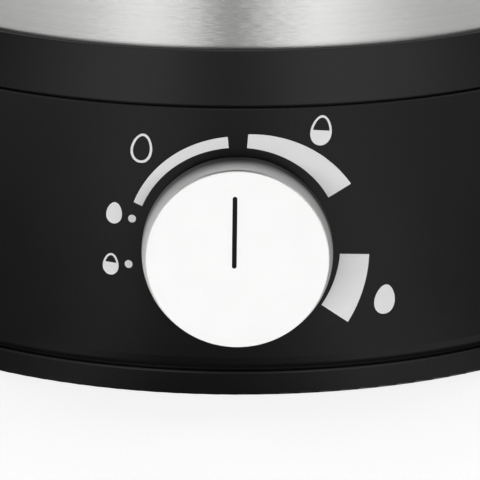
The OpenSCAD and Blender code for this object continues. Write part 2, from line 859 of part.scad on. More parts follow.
// A rubber bushing that snaps into the back wall, with a tapered nose outside
module cord_gland() {
    outside = body_r + 0.05;
    inside = wall_in - 1.55;
    end = body_r + gland_out;
    color(rubber) at_gland() difference() {
        rotate_extrude() difference() {
            union() {
                rect(0, inside - gland_flange_t, gland_flange_r - 1, inside);
                rect(0, inside - eps, gland_neck_r, outside + eps);
                rect(0, outside, gland_flange_r, outside + gland_flange_t);
                polygon([[0, outside], [gland_nose_r + 1, outside], [gland_nose_r, end - 0.6],
                    [gland_nose_r - 0.6, end], [0, end]]);
            }
            for (i = [0 : 1]) rect(gland_nose_r - 0.7, outside + gland_flange_t + 0.9 + 1.9 * i,
                gland_nose_r + 3, outside + gland_flange_t + 1.8 + 1.9 * i);
        }
        cylinder(r = gland_bore_r, h = 2 * body_r);
    }
}

// The snap-in switch: a frame, and a case with a round bed for the rocker
module switch_housing() {
    color(black) at_switch() difference() {
        union() {
            box(-frame_hx, frame_hx, -frame_hy, frame_hy, body_r - pocket_d, frame_face);
            box(-case_hx, case_hx, -case_hy, case_hy, frame_face - case_d, frame_face - 1);
        }
        translate([0, 0, pivot_z]) {
            rotate([0, 90, 0]) cylinder(r = cavity_r, h = 2 * cavity_hx, center = true);
            box(-cavity_hx, cavity_hx, -cavity_r, cavity_r, 0, 20);
            rotate([0, 90, 0])
                cylinder(r = pivot_r + running, h = 2 * case_hx - 0.6, center = true, $fn = 32);
        }
    }
}

module switch_contacts() {
    back = frame_face - case_d;
    color("#c9a24a") at_switch() for (y = [-6, 0, 6]) translate([0, y, back]) tab(4.8);
}

// Turns what is drawn level to the rocker's resting tilt
module at_rocker() {
    at_switch() translate([0, 0, pivot_z]) rotate([rocker_tilt, 0, 0]) children();
}

module rocker_body(grow = 0) {
    low = -4;
    rotate([90, 0, 90]) linear_extrude(2 * rocker_hx, center = true) intersection() {
        circle(r = rocker_r);
        polygon([[-rocker_r, low], [rocker_r, low], [rocker_r, 3.7 + vee_rise], [0, 3.7],
            [-rocker_r, 3.7 + vee_rise]]);
    }
}

lens_w = 6.4;
lens_h = 2.2;
lens_y = 4.6;
lens_d = 1.2;

module lens_place() {
    translate([0, 0, 3.7]) rotate([atan(vee_rise / rocker_r), 0, 0]) translate([0, lens_y, 0]) children();
}

module rocker() {
    color(black) at_rocker() difference() {
        union() {
            rocker_body();
            rotate([0, 90, 0]) cylinder(r = pivot_r, h = 2 * case_hx - 1, center = true, $fn = 32);
        }
        lens_place() box(-lens_w / 2, lens_w / 2, -lens_h / 2, lens_h / 2, -lens_d, 2);
    }
}

module rocker_lens() {
    fit = 0.05;
    color("#d8541c") at_rocker() lens_place() box(-lens_w / 2 + fit, lens_w / 2 - fit, -lens_h / 2 + fit,
        lens_h / 2 - fit, -lens_d, 0.25);
}

// A round bar whose upper part has a flat
module flatted_bar(r, flat, z0, z1, z2) {
    difference() {
        translate([0, 0, z0]) cylinder(r = r, h = z2 - z0, $fn = 64);
        box(-2 * r, 2 * r, flat, 2 * r, z1, z2 + 1);
    }
}

module dial_shaft() {
    color(steel) at_dial() flatted_bar(shaft_r, shaft_flat, shaft_start, bushing_end - 1, shaft_end);
}

// A point of the knob's skirt, from its back at t = 0 to the seam at t = 1, where it curves inwards
function skirt_point(t) = [
    knob_back_r - (knob_back_r - knob_face_r) * pow(t, 4), knob_back + (seam_back - knob_back) * t
];

// The white knob: a bowed cap with a fine seam behind its face, hollow, with a hub on six webs
module knob() {
    fit = 0.05;
    color(white) at_dial() difference() {
        union() {
            rotate_extrude($fn = fine) {
                polygon([
                    [knob_back_r - knob_t, knob_back],
                    for (i = [0 : skirt_steps]) skirt_point(i / skirt_steps),
                    [knob_face_r - seam_d, seam_back],
                    [knob_face_r - seam_d, seam_front], [knob_face_r, seam_front],
                    [knob_face_r, knob_face - face_soft], [knob_face_r - face_soft, knob_face],
                    [0, knob_face],
                    [0, knob_inner], [knob_face_r - knob_t, knob_inner]
                ]);
                rect(0, hub_low, hub_r, knob_inner + eps);
            }
            for (a = [0 : 60 : 359]) rotate(a) box(hub_r - 0.5, knob_face_r - knob_t + 0.5, -0.6, 0.6,
                knob_inner - 2.2, knob_inner + eps);
        }
        flatted_bar(shaft_r + fit, shaft_flat + fit, hub_low - 1, hub_low - 2, shaft_end + 0.2);
        pointer_form(pointer_w / 2, knob_face - pointer_d, knob_face + 1);
        translate([0, 0, hub_low - eps]) tube(hub_r + 3, hub_r - 0.8, knob_inner - 2.2 - hub_low);
    }
}

// The pointer's rounded bar from depth z0 to z1
module pointer_form(r, z0, z1) {
    ends = [pointer_low + pointer_w / 2, pointer_low + pointer_len - pointer_w / 2];
    translate([pointer_x, 0, z0]) {
        box(-r, r, ends[0], ends[1], 0, z1 - z0);
        for (y = ends) translate([0, y, 0]) cylinder(r = r, h = z1 - z0, $fn = 32);
    }
}

module knob_pointer() {
    color(black) at_dial() pointer_form(pointer_w / 2 - 0.02, knob_face - pointer_d, knob_face);
}

// A spring clip round the hub, open at one side
module knob_clip() {
    color(steel) at_dial() translate([0, 0, hub_low]) difference() {
        tube(hub_r - 0.05, hub_r - 0.75, knob_inner - 2.4 - hub_low);
        box(-1.2, 1.2, 0, hub_r + 2, -1, 10);
    }
}

// The tray: a flat sheet with a turned-up edge, flanged egg seats, and steam holes between them
module egg_tray() {
    seats = [for (i = [0 : egg_count - 1]) (i + 0.5) * 360 / egg_count];
    webs = [for (i = [0 : egg_count - 1]) i * 360 / egg_count];
    flare = 0.9;
    color(steel) difference() {
        union() {
            rotate_extrude($fn = fine) {
                rect(0, tray_low, tray_r - tray_t - 0.3, tray_top);
                bend(tray_r - tray_t - 0.3, tray_top + 0.3, 0.3, tray_t, 1, -1);
                rect(tray_r - tray_t, tray_top + 0.3, tray_r, tray_low + tray_edge_h);
                translate([tray_r - tray_t / 2, tray_low + tray_edge_h]) circle(d = tray_t, $fn = 24);
            }
            translate([0, 0, tray_top - seat_collar_h]) around(egg_ring_r, seats)
                cylinder(r = egg_hole_r + seat_wall, h = seat_collar_h - eps);
            translate([0, 0, tray_top - eps]) around(egg_ring_r, seats)
                cylinder(r1 = egg_hole_r + seat_wall + 0.8, r2 = egg_hole_r + seat_wall, h = 0.6);
        }
        around(egg_ring_r, seats) {
            translate([0, 0, tray_low - 10]) cylinder(r = egg_hole_r, h = 20);
            translate([0, 0, tray_top + 0.6 - flare])
                cylinder(r1 = egg_hole_r, r2 = egg_hole_r + flare, h = flare + eps);
        }
        translate([0, 0, tray_low - 1]) {
            around(steam_ring_out, webs) cylinder(r = steam_r, h = 5, $fn = 48);
            around(steam_ring_mid, webs) cylinder(r = steam_mid_r, h = 5, $fn = 32);
            around(steam_ring_in, webs) cylinder(r = steam_in_r, h = 5, $fn = 32);
            cylinder(r = 2.2, h = 5, $fn = 32);
        }
    }
}

// The handle: a flared foot, a column and a finger ring
module tray_handle() {
    half = ring_thick / 2;
    neck_z = ring_mid_z - finger_ring_r + 3;
    color(black) difference() {
        union() {
            rotate_extrude() {
                polygon([
                    [0, tray_top], [handle_foot_r, tray_top], [handle_foot_r, tray_top + 1.2],
                    [column_r + 3, tray_top + handle_foot_h], [column_r + 0.6, tray_top + 5.5],
                    [column_r - 0.4, tray_top + 9], [column_r - 0.4, neck_z], [0, neck_z]
                ]);
            }
            translate([0, 0, ring_mid_z]) rotate([90, 0, 0]) rotate_extrude()
                soft_rect(finger_ring_r - finger_bar, -half, finger_ring_r, half, 2.4);
        }
        translate([0, 0, tray_top - 1])
            cylinder(r = tray_screw_r + screw_fit, h = tray_screw_len + 1, $fn = 32);
    }
}

module tray_screw() {
    color(steel) translate([0, 0, tray_low - head_h])
        pan_screw(tray_screw_r, tray_t + tray_screw_len - 1, 4.5, head_h);
}

// Part of a ring round x, y from angle a0 to a1, less than a right angle apart
module arc_band(x, y, r, t, a0, a1) {
    far = 2 * r;
    translate([x, y]) intersection() {
        difference() {
            circle(r = r, $fn = fine);
            circle(r = r - t, $fn = fine);
        }
        polygon([[0, 0], [far * cos(a0), far * sin(a0)], [far * cos(a1), far * sin(a1)]]);
    }
}

// The lid's leaning wall, round shoulder and shallow crown, lapped into one another
module lid_section() {
    lean = atan(lid_lean / (lid_side_z - lid_z));
    rise = lid_top - lid_side_z;
    crown_r = (pow(lid_side_x, 2) + pow(rise, 2) - pow(lid_shoulder_r, 2)) / (2 * (rise - lid_shoulder_r));
    turn = atan2(lid_side_x, crown_r - rise);
    wall_h = (lid_side_z + lid_shoulder_r * sin(lean) - lid_z - 1) / cos(lean);
    reach = turn + asin(lid_lap / crown_r);
    arc_band(lid_side_x, lid_side_z, lid_shoulder_r, lid_t, lean, 90 - turn);
    translate([0, lid_top - crown_r]) intersection() {
        difference() {
            circle(r = crown_r - lid_thin, $fn = 720);
            circle(r = crown_r - lid_t + lid_thin, $fn = 720);
        }
        polygon([[0, 0], [0, 2 * crown_r], [2 * crown_r * sin(reach), 2 * crown_r * cos(reach)]]);
    }
    translate([lid_side_x, lid_side_z]) rotate(lean)
        rect(lid_shoulder_r - lid_t + lid_thin, -wall_h, lid_shoulder_r - lid_thin, lid_lap);
}

module lid() {
    color("#dfe6ea", 0.45) difference() {
        union() {
            rotate_extrude($fn = fine) {
                lid_section();
                soft_rect(skirt_out_r - skirt_t, lid_z, lid_flange_r, lid_z + lid_flange_t, 0.6);
                rect(skirt_out_r - skirt_t, lid_z - skirt_h, skirt_out_r, lid_z + 1);
                rect(0, pad_under, lid_pad_r, pad_top);
            }
            translate([steam_hole_x, 0, lid_top - 4]) cylinder(r = steam_hole_r + 1.6, h = 4);
        }
        translate([steam_hole_x, 0, lid_top - 10]) cylinder(r = steam_hole_r, h = 20, $fn = 48);
        translate([0, 0, pad_under - 1]) cylinder(r = lid_hole_r, h = 10, $fn = 48);
    }
}

module lid_knob() {
    stem_r = 8.5;
    under = pad_top + lid_knob_h - 8;
    color(black) difference() {
        rotate_extrude() {
            polygon([
                [0, pad_top], [stem_r + 1, pad_top], [stem_r - 1, pad_top + 3], [stem_r, under - 1],
                [lid_knob_r - 4, under + 0.4], [lid_knob_r - 4, pad_top + lid_knob_h],
                [0, pad_top + lid_knob_h]
            ]);
            translate([lid_knob_r - 4, under + 4.2]) intersection() {
                circle(r = 4, $fn = 64);
                rect(-1, -4, 5, pad_top + lid_knob_h - under - 4.2);
            }
        }
        translate([0, 0, pad_top - 1])
            cylinder(r = lid_screw_r + screw_fit, h = lid_screw_up + 2, $fn = 32);
        translate([0, 0, pad_top + lid_knob_h - 1]) cylinder(r = lid_knob_r - 5.5, h = 2);
    }
}

module lid_knob_cap() {
    color(steel) translate([0, 0, pad_top + lid_knob_h - 1])
        cylinder(r1 = lid_knob_r - 5.6, r2 = lid_knob_r - 5.9, h = 1.2);
}

module lid_screw() {
    color(steel) translate([0, 0, pad_under - washer_t - lid_screw_head])
        pan_screw(lid_screw_r, washer_t + pad_top - pad_under + lid_screw_up, 4, lid_screw_head);
}

module lid_washer() {
    color(rubber) translate([0, 0, pad_under - washer_t]) tube(6.5, lid_screw_r + 0.1, washer_t);
}

bottom_plate();
rubber_feet();
base_screws();
housing();
collar();
collar_screws();
steel_shell();
heating_bowl();
bowl_gasket();
bowl_studs();
bowl_nuts();
heat_spreader();
heating_element();
element_terminals();
thermostat();
thermostat_strap();
strap_screws();
thermal_fuse();
heat_shield();
control_board();
board_screws();
dial_control();
dial_nut();
relay();
transformer();
buzzer();
filter_capacitor();
terminal_block();
terminal_screws();
cord_gland();
switch_housing();
switch_contacts();
rocker();
rocker_lens();
dial_shaft();
knob();
knob_pointer();
knob_clip();
egg_tray();
tray_handle();
tray_screw();
lid();
lid_knob();
lid_knob_cap();
lid_screw();
lid_washer();
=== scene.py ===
import json
from math import cos, pi, radians, sin, tan

import bmesh
import bpy
from mathutils import Matrix, Quaternion, Vector

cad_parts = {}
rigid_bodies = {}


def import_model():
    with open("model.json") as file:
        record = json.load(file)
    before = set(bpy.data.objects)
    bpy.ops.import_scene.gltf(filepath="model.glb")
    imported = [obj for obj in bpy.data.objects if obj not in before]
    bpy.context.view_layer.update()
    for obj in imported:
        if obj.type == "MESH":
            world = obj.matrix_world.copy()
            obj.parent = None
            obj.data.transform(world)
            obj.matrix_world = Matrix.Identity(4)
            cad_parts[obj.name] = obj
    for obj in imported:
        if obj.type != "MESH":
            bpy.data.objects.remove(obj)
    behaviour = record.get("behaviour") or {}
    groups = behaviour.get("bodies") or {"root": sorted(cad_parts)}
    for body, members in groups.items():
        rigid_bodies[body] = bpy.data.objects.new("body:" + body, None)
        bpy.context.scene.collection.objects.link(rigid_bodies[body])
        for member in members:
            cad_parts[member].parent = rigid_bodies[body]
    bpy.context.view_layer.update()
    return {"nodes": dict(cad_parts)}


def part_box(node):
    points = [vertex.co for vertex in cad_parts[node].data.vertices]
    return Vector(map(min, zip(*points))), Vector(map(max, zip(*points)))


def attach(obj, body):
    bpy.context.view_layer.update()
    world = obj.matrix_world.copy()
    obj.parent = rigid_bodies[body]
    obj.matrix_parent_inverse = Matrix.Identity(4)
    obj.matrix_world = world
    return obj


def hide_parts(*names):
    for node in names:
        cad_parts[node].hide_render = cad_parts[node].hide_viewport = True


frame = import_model()
print("frame loaded:", len(frame["nodes"]), "nodes")

mm = 0.001
toneSpan = (0.3, 0.7)  # the part of a noise's range that is spread over a finish's two tones


class Wire:  # a node's output that takes part in plain arithmetic
    def __init__(self, bench, socket):
        self.bench = bench
        self.socket = socket

    def maths(self, operation, *others):
        return self.bench.node("ShaderNodeMath", {"operation": operation}, [self, *others])

    def swapped(self, operation, first):  # the same with this output as the second value
        return self.bench.node("ShaderNodeMath", {"operation": operation}, [first, self])

    def scaled(self, factors):  # a vector stretched along its three axes
        return self.bench.node("ShaderNodeVectorMath", {"operation": "MULTIPLY"}, [self, factors])

    def __add__(self, other):
        return self.maths("ADD", other)

    def __radd__(self, other):
        return self.maths("ADD", other)

    def __sub__(self, other):
        return self.maths("SUBTRACT", other)

    def __rsub__(self, other):
        return self.swapped("SUBTRACT", other)

    def __mul__(self, other):
        return self.maths("MULTIPLY", other)

    def __rmul__(self, other):
        return self.maths("MULTIPLY", other)

    def __truediv__(self, other):
        return self.maths("DIVIDE", other)

    def __rtruediv__(self, other):
        return self.swapped("DIVIDE", other)

    def __pow__(self, other):
        return self.maths("POWER", other)

    def __rpow__(self, other):
        return self.swapped("POWER", other)

    def __neg__(self):
        return self.maths("MULTIPLY", -1.0)


class Bench:  # a node tree and the one method that adds to it
    def __init__(self, tree):
        self.tree = tree

    def node(self, kind, settings=None, sockets=None, out=0):
        made = self.tree.nodes.new(kind)
        for key, value in (settings or {}).items():
            if key == "stops":
                self.fillRamp(made.color_ramp, value)
            else:
                setattr(made, key, value)
        pairs = sockets.items() if isinstance(sockets, dict) else enumerate(sockets or [])
        for key, value in pairs:
            self.join(value, made.inputs[key])
        return Wire(self, made.outputs[out]) if len(made.outputs) else made

    def fillRamp(self, ramp, stops):
        while len(ramp.elements) > 1:
            ramp.elements.remove(ramp.elements[-1])
        for i, (place, colour) in enumerate(stops):
            stop = ramp.elements[0] if i == 0 else ramp.elements.new(place)
            stop.position = place
            stop.color = colour

    def join(self, value, socket):
        if isinstance(value, Wire):
            self.tree.links.new(value.socket, socket)
        else:
            socket.default_value = value

    def parts(self, spot):
        split = self.node("ShaderNodeSeparateXYZ", {}, [spot])
        return [Wire(self, outlet) for outlet in split.socket.node.outputs]

    def vector(self, x, y, z):
        return self.node("ShaderNodeCombineXYZ", {}, [x, y, z])

    def between(self, wire, low, high, newLow=0.0, newHigh=1.0):
        return self.node("ShaderNodeMapRange", {"interpolation_type": "SMOOTHSTEP"},
                         {"Value": wire, "From Min": low, "From Max": high,
                          "To Min": newLow, "To Max": newHigh})


class Finish(Bench):  # a surface material built on one shader
    def __init__(self, name, **constants):
        self.material = bpy.data.materials.new(name)
        self.material.use_nodes = True
        super().__init__(self.material.node_tree)
        self.tree.nodes.clear()
        surface = self.node("ShaderNodeBsdfPrincipled")
        self.node("ShaderNodeOutputMaterial", {}, {"Surface": surface})
        self.shader = surface.socket.node
        for key, value in constants.items():
            self.set(key.replace("_", " "), value)

    def set(self, socket, value):
        self.join(value, self.shader.inputs[socket])

    def place(self, scale=1000.0):  # object coordinates, in millimetres
        return self.node("ShaderNodeTexCoord", out=3).scaled([scale] * 3)

    def around(self, spot):  # turn about the upright axis, radius and height
        x, y, z = self.parts(spot)
        return x.maths("ARCTAN2", -y), (x * x + y * y).maths("SQRT"), z

    def noise(self, spot, scale, detail=3.0, rough=0.5):
        return self.node("ShaderNodeTexNoise", {"noise_dimensions": "3D"},
                         {"Vector": spot, "Scale": scale, "Detail": detail, "Roughness": rough})

    def blend(self, factor, first, second):  # two colours, each a value or a wire
        first, second = [c if isinstance(c, Wire) else (*c, 1.0) for c in (first, second)]
        return self.node("ShaderNodeMix", {"data_type": "RGBA"}, {0: factor, 6: first, 7: second}, out=2)

    def bumped(self, height, strength, distance):
        self.set("Normal", self.node("ShaderNodeBump", {},
                                     {"Height": height, "Strength": strength, "Distance": distance}))


# Moulded plastic: a slow drift of tone from the mould and a fine eroded grain
mouldGrain = {
    "drift": 0.06, "grain": 2.6,            # how often each repeats in a millimetre
    "tint": 0.08,                           # change of colour with the drift
    "roughLow": 0.03, "roughDrift": 0.04, "roughGrain": 0.03,
    "bump": 0.06, "depth": 0.00003,
}


def mouldedPlastic(name, colour, rough, grain=1.0, specular=0.5):
    s = mouldGrain
    f = Finish(name, Specular_IOR_Level=specular)
    spot = f.place()
    drift = f.noise(spot, s["drift"], 2.0)
    fine = f.noise(spot, s["grain"], 2.0, 0.6)
    dark = [c * (1 - s["tint"]) for c in colour]
    light = [c * (1 + s["tint"]) for c in colour]
    f.set("Base Color", f.blend(f.between(drift, *toneSpan), dark, light))
    f.set("Roughness", rough - s["roughLow"] + s["roughDrift"] * drift + s["roughGrain"] * fine)
    f.bumped(fine, s["bump"] * grain, s["depth"])
    return f.material


# Steel brushed round the upright axis: long lines, and short flecks that lean a little round the axis
brushing = {
    "lineTurn": 1.6, "lineReach": 0.9,      # fineness of the lines round the axis and away from it
    "fleckTurn": 34.0, "fleckReach": 5.0, "fleckRise": 5.5,
    "lineShare": 0.65,                      # share of the lines in the tone
    "tint": 0.05, "roughLines": 0.05,
    "lean": 0.2, "leanRadius": 80.0,        # lean of a fleck, at this many millimetres from the axis
    "bump": 0.1, "depth": 0.00002,
    "anisotropyTurn": 0.25,
}


def spunSteel(name, bright, rough, lineScale, anisotropy):
    s = brushing
    f = Finish(name, Metallic=1.0, Anisotropic=anisotropy, Anisotropic_Rotation=s["anisotropyTurn"])
    spot = f.place()
    turn, reach, height = f.around(spot)
    lines = f.noise(f.vector(turn * s["lineTurn"], reach * s["lineReach"] * lineScale, height * lineScale),
                    1.0, 4.0, 0.65)
    flecks = f.noise(f.vector(turn * s["fleckTurn"], reach * s["fleckReach"], height * s["fleckRise"]),
                     1.0, 2.0, 0.55)
    tone = f.between(lines * s["lineShare"] + flecks * (1 - s["lineShare"]), *toneSpan)
    dark = [c * (1 - s["tint"]) for c in bright]
    light = [min(1.0, c * (1 + s["tint"])) for c in bright]
    f.set("Base Color", f.blend(tone, dark, light))
    f.set("Roughness", rough + s["roughLines"] * lines)
    x, y, z = f.parts(spot)
    along = f.vector(-y, x, 0.0).scaled([1 / s["leanRadius"]] * 3)
    lean = f.node("ShaderNodeVectorMath", {"operation": "SCALE"},
                  {0: along, "Scale": (flecks - 0.5) * s["lean"]})
    surface = f.node("ShaderNodeNewGeometry", out=1)
    leant = f.node("ShaderNodeVectorMath", {"operation": "ADD"}, [surface, lean])
    f.set("Normal", f.node("ShaderNodeBump", {}, {"Height": lines, "Strength": s["bump"],
                                                  "Distance": s["depth"], "Normal": leant}))
    return f.material


# Plated, cast and rolled metal: soft patches under a fine grit
sheetGrain = {
    "patch": 0.2, "grit": 6.0,              # fineness of each, as a share of the finish's own scale
    "roughPatch": 0.10, "roughGrit": 0.05,
    "bump": 0.12, "depth": 0.00003,
}


def sheetMetal(name, colour, rough, scale=0.5, mottled=0.12):
    s = sheetGrain
    f = Finish(name, Metallic=1.0)
    spot = f.place()
    patch = f.noise(spot, scale * s["patch"], 3.0)
    grit = f.noise(spot, scale * s["grit"], 2.0)
    f.set("Base Color", f.blend(f.between(patch, *toneSpan), [c * (1 - mottled) for c in colour], colour))
    f.set("Roughness", rough + s["roughPatch"] * patch + s["roughGrit"] * grit)
    f.bumped(grit, s["bump"], s["depth"])
    return f.material


# Rubber, ink, resin and ceramic: two tones in a cloudy mix with a grain
fillerGrain = {
    "scale": 1.2, "cloud": 0.15, "grain": 3.0,
    "cloudShare": 0.7, "span": (0.35, 0.65),
    "roughGrain": 0.08,
    "depth": 0.00006,
}


def matteFiller(name, light, dark, rough, bump=0.1, **extra):
    s = fillerGrain
    f = Finish(name, **extra)
    spot = f.place()
    cloud = f.noise(spot, s["scale"] * s["cloud"], 4.0, 0.6)
    grain = f.noise(spot, s["scale"] * s["grain"], 3.0)
    tone = f.between(cloud * s["cloudShare"] + grain * (1 - s["cloudShare"]), *s["span"])
    f.set("Base Color", f.blend(tone, dark, light))
    f.set("Roughness", rough + s["roughGrain"] * grain - s["roughGrain"] / 2)
    f.bumped(grain, bump, s["depth"])
    return f.material


blackTone = (0.0045, 0.0045, 0.0046)
housingBlack = mouldedPlastic("housingBlack", blackTone, 0.31, grain=0.7, specular=0.25)
lipPolish = mouldedPlastic("lipPolish", blackTone, 0.24, grain=0.4)
handleBlack = mouldedPlastic("handleBlack", (0.0075, 0.0075, 0.008), 0.38, specular=0.4)
rockerBlack = mouldedPlastic("rockerBlack", (0.0085, 0.0085, 0.009), 0.3, specular=0.45)
pointerInk = mouldedPlastic("pointerInk", (0.005, 0.005, 0.0055), 0.4, specular=0.2)
controlCase = mouldedPlastic("controlCase", (0.04, 0.043, 0.05), 0.45)
relayBlue = mouldedPlastic("relayBlue", (0.02, 0.11, 0.32), 0.35)
capacitorRed = mouldedPlastic("capacitorRed", (0.42, 0.045, 0.03), 0.3)

footRubber = matteFiller("footRubber", (0.016, 0.016, 0.017), (0.008, 0.008, 0.009), 0.72)
printInk = matteFiller("printInk", (0.70, 0.70, 0.70), (0.68, 0.68, 0.682), 0.55, bump=0.03,
                       Specular_IOR_Level=0.3)
siliconeGrey = matteFiller("siliconeGrey", (0.2, 0.2, 0.21), (0.16, 0.16, 0.17), 0.5, bump=0.03)
phenolicBrown = matteFiller("phenolicBrown", (0.035, 0.02, 0.014), (0.02, 0.012, 0.009), 0.5)
ceramicWhite = matteFiller("ceramicWhite", (0.74, 0.73, 0.68), (0.68, 0.66, 0.6), 0.45)

wallSteel = spunSteel("wallSteel", (0.775, 0.775, 0.765), 0.272, 4.2, 0.8)
bowlSteel = spunSteel("bowlSteel", (0.78, 0.78, 0.77), 0.2, 2.0, 0.5)
traySteel = spunSteel("traySteel", (0.8, 0.8, 0.79), 0.24, 3.0, 0.4)
capSteel = spunSteel("capSteel", (0.82, 0.82, 0.81), 0.22, 6.0, 0.6)

zincSteel = sheetMetal("zincSteel", (0.62, 0.63, 0.65), 0.28, scale=1.5)
contactBrass = sheetMetal("contactBrass", (0.78, 0.6, 0.3), 0.26, scale=1.5)
castAluminium = sheetMetal("castAluminium", (0.66, 0.66, 0.67), 0.42, scale=1.0, mottled=0.18)
shieldAluminium = sheetMetal("shieldAluminium", (0.78, 0.78, 0.79), 0.22, scale=0.6)
sheathMetal = sheetMetal("sheathMetal", (0.3, 0.29, 0.29), 0.4, scale=1.2, mottled=0.3)

boardSpec = {
    "wander": 0.12,                         # fineness of the drift that bends the tracks
    "tracks": 0.9, "trackBend": 9.0, "trackSpan": (0.35, 0.6),
    "breaks": 0.35, "breakBend": 6.0, "breakSpan": (-0.2, 0.1),
    "varnish": (0.012, 0.075, 0.03), "track": (0.03, 0.14, 0.055),
    "rough": 0.42, "smoother": 0.1,
    "bump": 0.2, "depth": 0.00004,
}


def circuitBoard():  # green varnish over copper tracks
    s = boardSpec
    f = Finish("circuitBoard", Coat_Roughness=0.15, Coat_Weight=0.4)
    x, y, z = f.parts(f.place())
    wander = f.noise(f.vector(x, 0.0, z), s["wander"], 1.0)
    lines = f.between((x * s["tracks"] + wander * s["trackBend"]).maths("SINE"), *s["trackSpan"])
    breaks = f.between((z * s["breaks"] + wander * s["breakBend"]).maths("SINE"), *s["breakSpan"])
    f.set("Base Color", f.blend(lines * breaks, s["varnish"], s["track"]))
    f.set("Roughness", s["rough"] - s["smoother"] * lines)
    f.bumped(lines * breaks, s["bump"], s["depth"])
    return f.material


windingSpec = {
    "turns": 9.0, "cloud": 0.3, "turnShare": 0.6,
    "dark": (0.42, 0.25, 0.05), "light": (0.72, 0.5, 0.14),
    "rough": 0.45, "smoother": 0.12,
    "bump": 0.25, "depth": 0.00008,
}


def copperWinding():  # enamelled wire under a taped core
    s = windingSpec
    f = Finish("copperWinding")
    spot = f.place()
    x, y, z = f.parts(spot)
    turns = (z * s["turns"]).maths("SINE") * 0.5 + 0.5
    cloud = f.noise(spot, s["cloud"], 2.0)
    tone = turns * s["turnShare"] + cloud * (1 - s["turnShare"])
    f.set("Base Color", f.blend(tone, s["dark"], s["light"]))
    f.set("Roughness", s["rough"] - s["smoother"] * turns)
    f.bumped(turns, s["bump"], s["depth"])
    return f.material


lidSpec = {
    "flowTurn": 2.0, "flowReach": 0.03,
    "clear": (0.965, 0.975, 0.98), "clearer": (0.985, 0.99, 0.99),
    "rough": 0.015, "roughFlow": 0.02,
    "bump": 0.05, "depth": 0.0001,
}


def clearShell():  # transparent lid with the faintest flow marks
    s = lidSpec
    f = Finish("clearShell", Transmission_Weight=1.0, IOR=1.49, Specular_IOR_Level=0.5)
    turn, reach, height = f.around(f.place())
    flow = f.noise(f.vector(turn * s["flowTurn"], reach * s["flowReach"], height * s["flowReach"]), 1.0, 2.0)
    f.set("Base Color", f.blend(flow, s["clear"], s["clearer"]))
    f.set("Roughness", s["rough"] + s["roughFlow"] * flow)
    f.bumped(flow, s["bump"], s["depth"])
    return f.material


lensSpec = {
    "cells": 1.6,
    "deep": (0.62, 0.05, 0.02), "bright": (0.86, 0.12, 0.04),
    "rough": 0.18, "roughCells": 0.1,
    "bump": 0.2, "depth": 0.00005,
}


def lampRed():  # the rocker's lens with its small prisms
    s = lensSpec
    f = Finish("lampRed", Transmission_Weight=0.35, IOR=1.49)
    cells = f.node("ShaderNodeTexVoronoi", {"feature": "F1"}, {"Vector": f.place(), "Scale": s["cells"]})
    f.set("Base Color", f.blend(cells, s["deep"], s["bright"]))
    f.set("Roughness", s["rough"] + s["roughCells"] * cells)
    f.bumped(cells, s["bump"], s["depth"])
    return f.material


# Painted shade on the dial's skirt: its white is darkened towards the dark panel, more above and on the right
# side
dialPaintedShade = {
    "skirt": (16.9, 17.3),                  # radius at which the skirt's painted shade starts
    "front": (6.2, 6.9),                    # depth from the dial's back at which it ends
    "panel": (1.8, 5.2),                    # depth over which the painted shade from the dark panel fades
    "even": 0.53, "above": 0.28,            # that painted shade all round, and more of it above
    # painted shade on the right side, the largest share of painted shade, and its dark colour
    "right": 0.5, "most": 0.93,
    "dark": (0.008, 0.008, 0.008),
    "white": ((0.885, 0.885, 0.88), (0.9, 0.9, 0.895)),
    "drift": 0.12, "grain": 3.0,
    "rough": 0.5, "roughGrain": 0.05,
    "bump": 0.03, "depth": 0.00002,
}


def dialWhite(back, axis):  # matt white, with shade painted on its skirt where the dark panel is close
    s = dialPaintedShade
    f = Finish("dialWhite", Specular_IOR_Level=0.02)
    spot = f.place()
    x, y, z = f.parts(spot)
    rise = z - axis
    reach = (x * x + rise * rise).maths("SQRT")
    upwards = (rise / reach).maths("MAXIMUM", 0.0)
    rightwards = (x / reach).maths("MAXIMUM", 0.0)
    deep = -y - back
    # painted shade: the skirt darkens near the panel, more above and on the right side
    side = f.between(reach, *s["skirt"]) * f.between(deep, *s["front"], 1.0, 0.0)
    close = f.between(deep, *s["panel"], 1.0, 0.0)
    shade = close * (s["even"] + s["above"] * upwards) + s["right"] * rightwards * rightwards
    paintedShade = (side * shade).maths("MINIMUM", s["most"])
    drift = f.noise(spot, s["drift"], 3.0)
    grain = f.noise(spot, s["grain"], 2.0)
    white = f.blend(f.between(drift, *toneSpan), *s["white"])
    # the white turns to the dark colour where the shade is painted
    f.set("Base Color", f.blend(paintedShade, white, s["dark"]))
    f.set("Roughness", s["rough"] + s["roughGrain"] * grain)
    f.bumped(grain, s["bump"], s["depth"])
    return f.material


boardGreen = circuitBoard()
windingYellow = copperWinding()
lidClear = clearShell()
lensRed = lampRed()
print("finishes made:", len(bpy.data.materials))


def settle(name, mesh, material, body, replaced=(), crease=32):  # a finished piece on its body
    obj = bpy.data.objects.new(name, mesh)
    bpy.context.scene.collection.objects.link(obj)
    mesh.polygons.foreach_set("use_smooth", [True] * len(mesh.polygons))
    mesh.set_sharp_from_angle(angle=radians(crease))
    mesh.materials.clear()
    mesh.materials.append(material)
    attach(obj, body)
    if replaced:
        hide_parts(*replaced)


def arcPoints(cx, cz, r, start, end, steps):  # angles in degrees, 0 outwards and 90 up
    turns = [radians(start + (end - start) * k / steps) for k in range(steps + 1)]
    return [Vector((cx + r * cos(turn), cz + r * sin(turn))) for turn in turns]


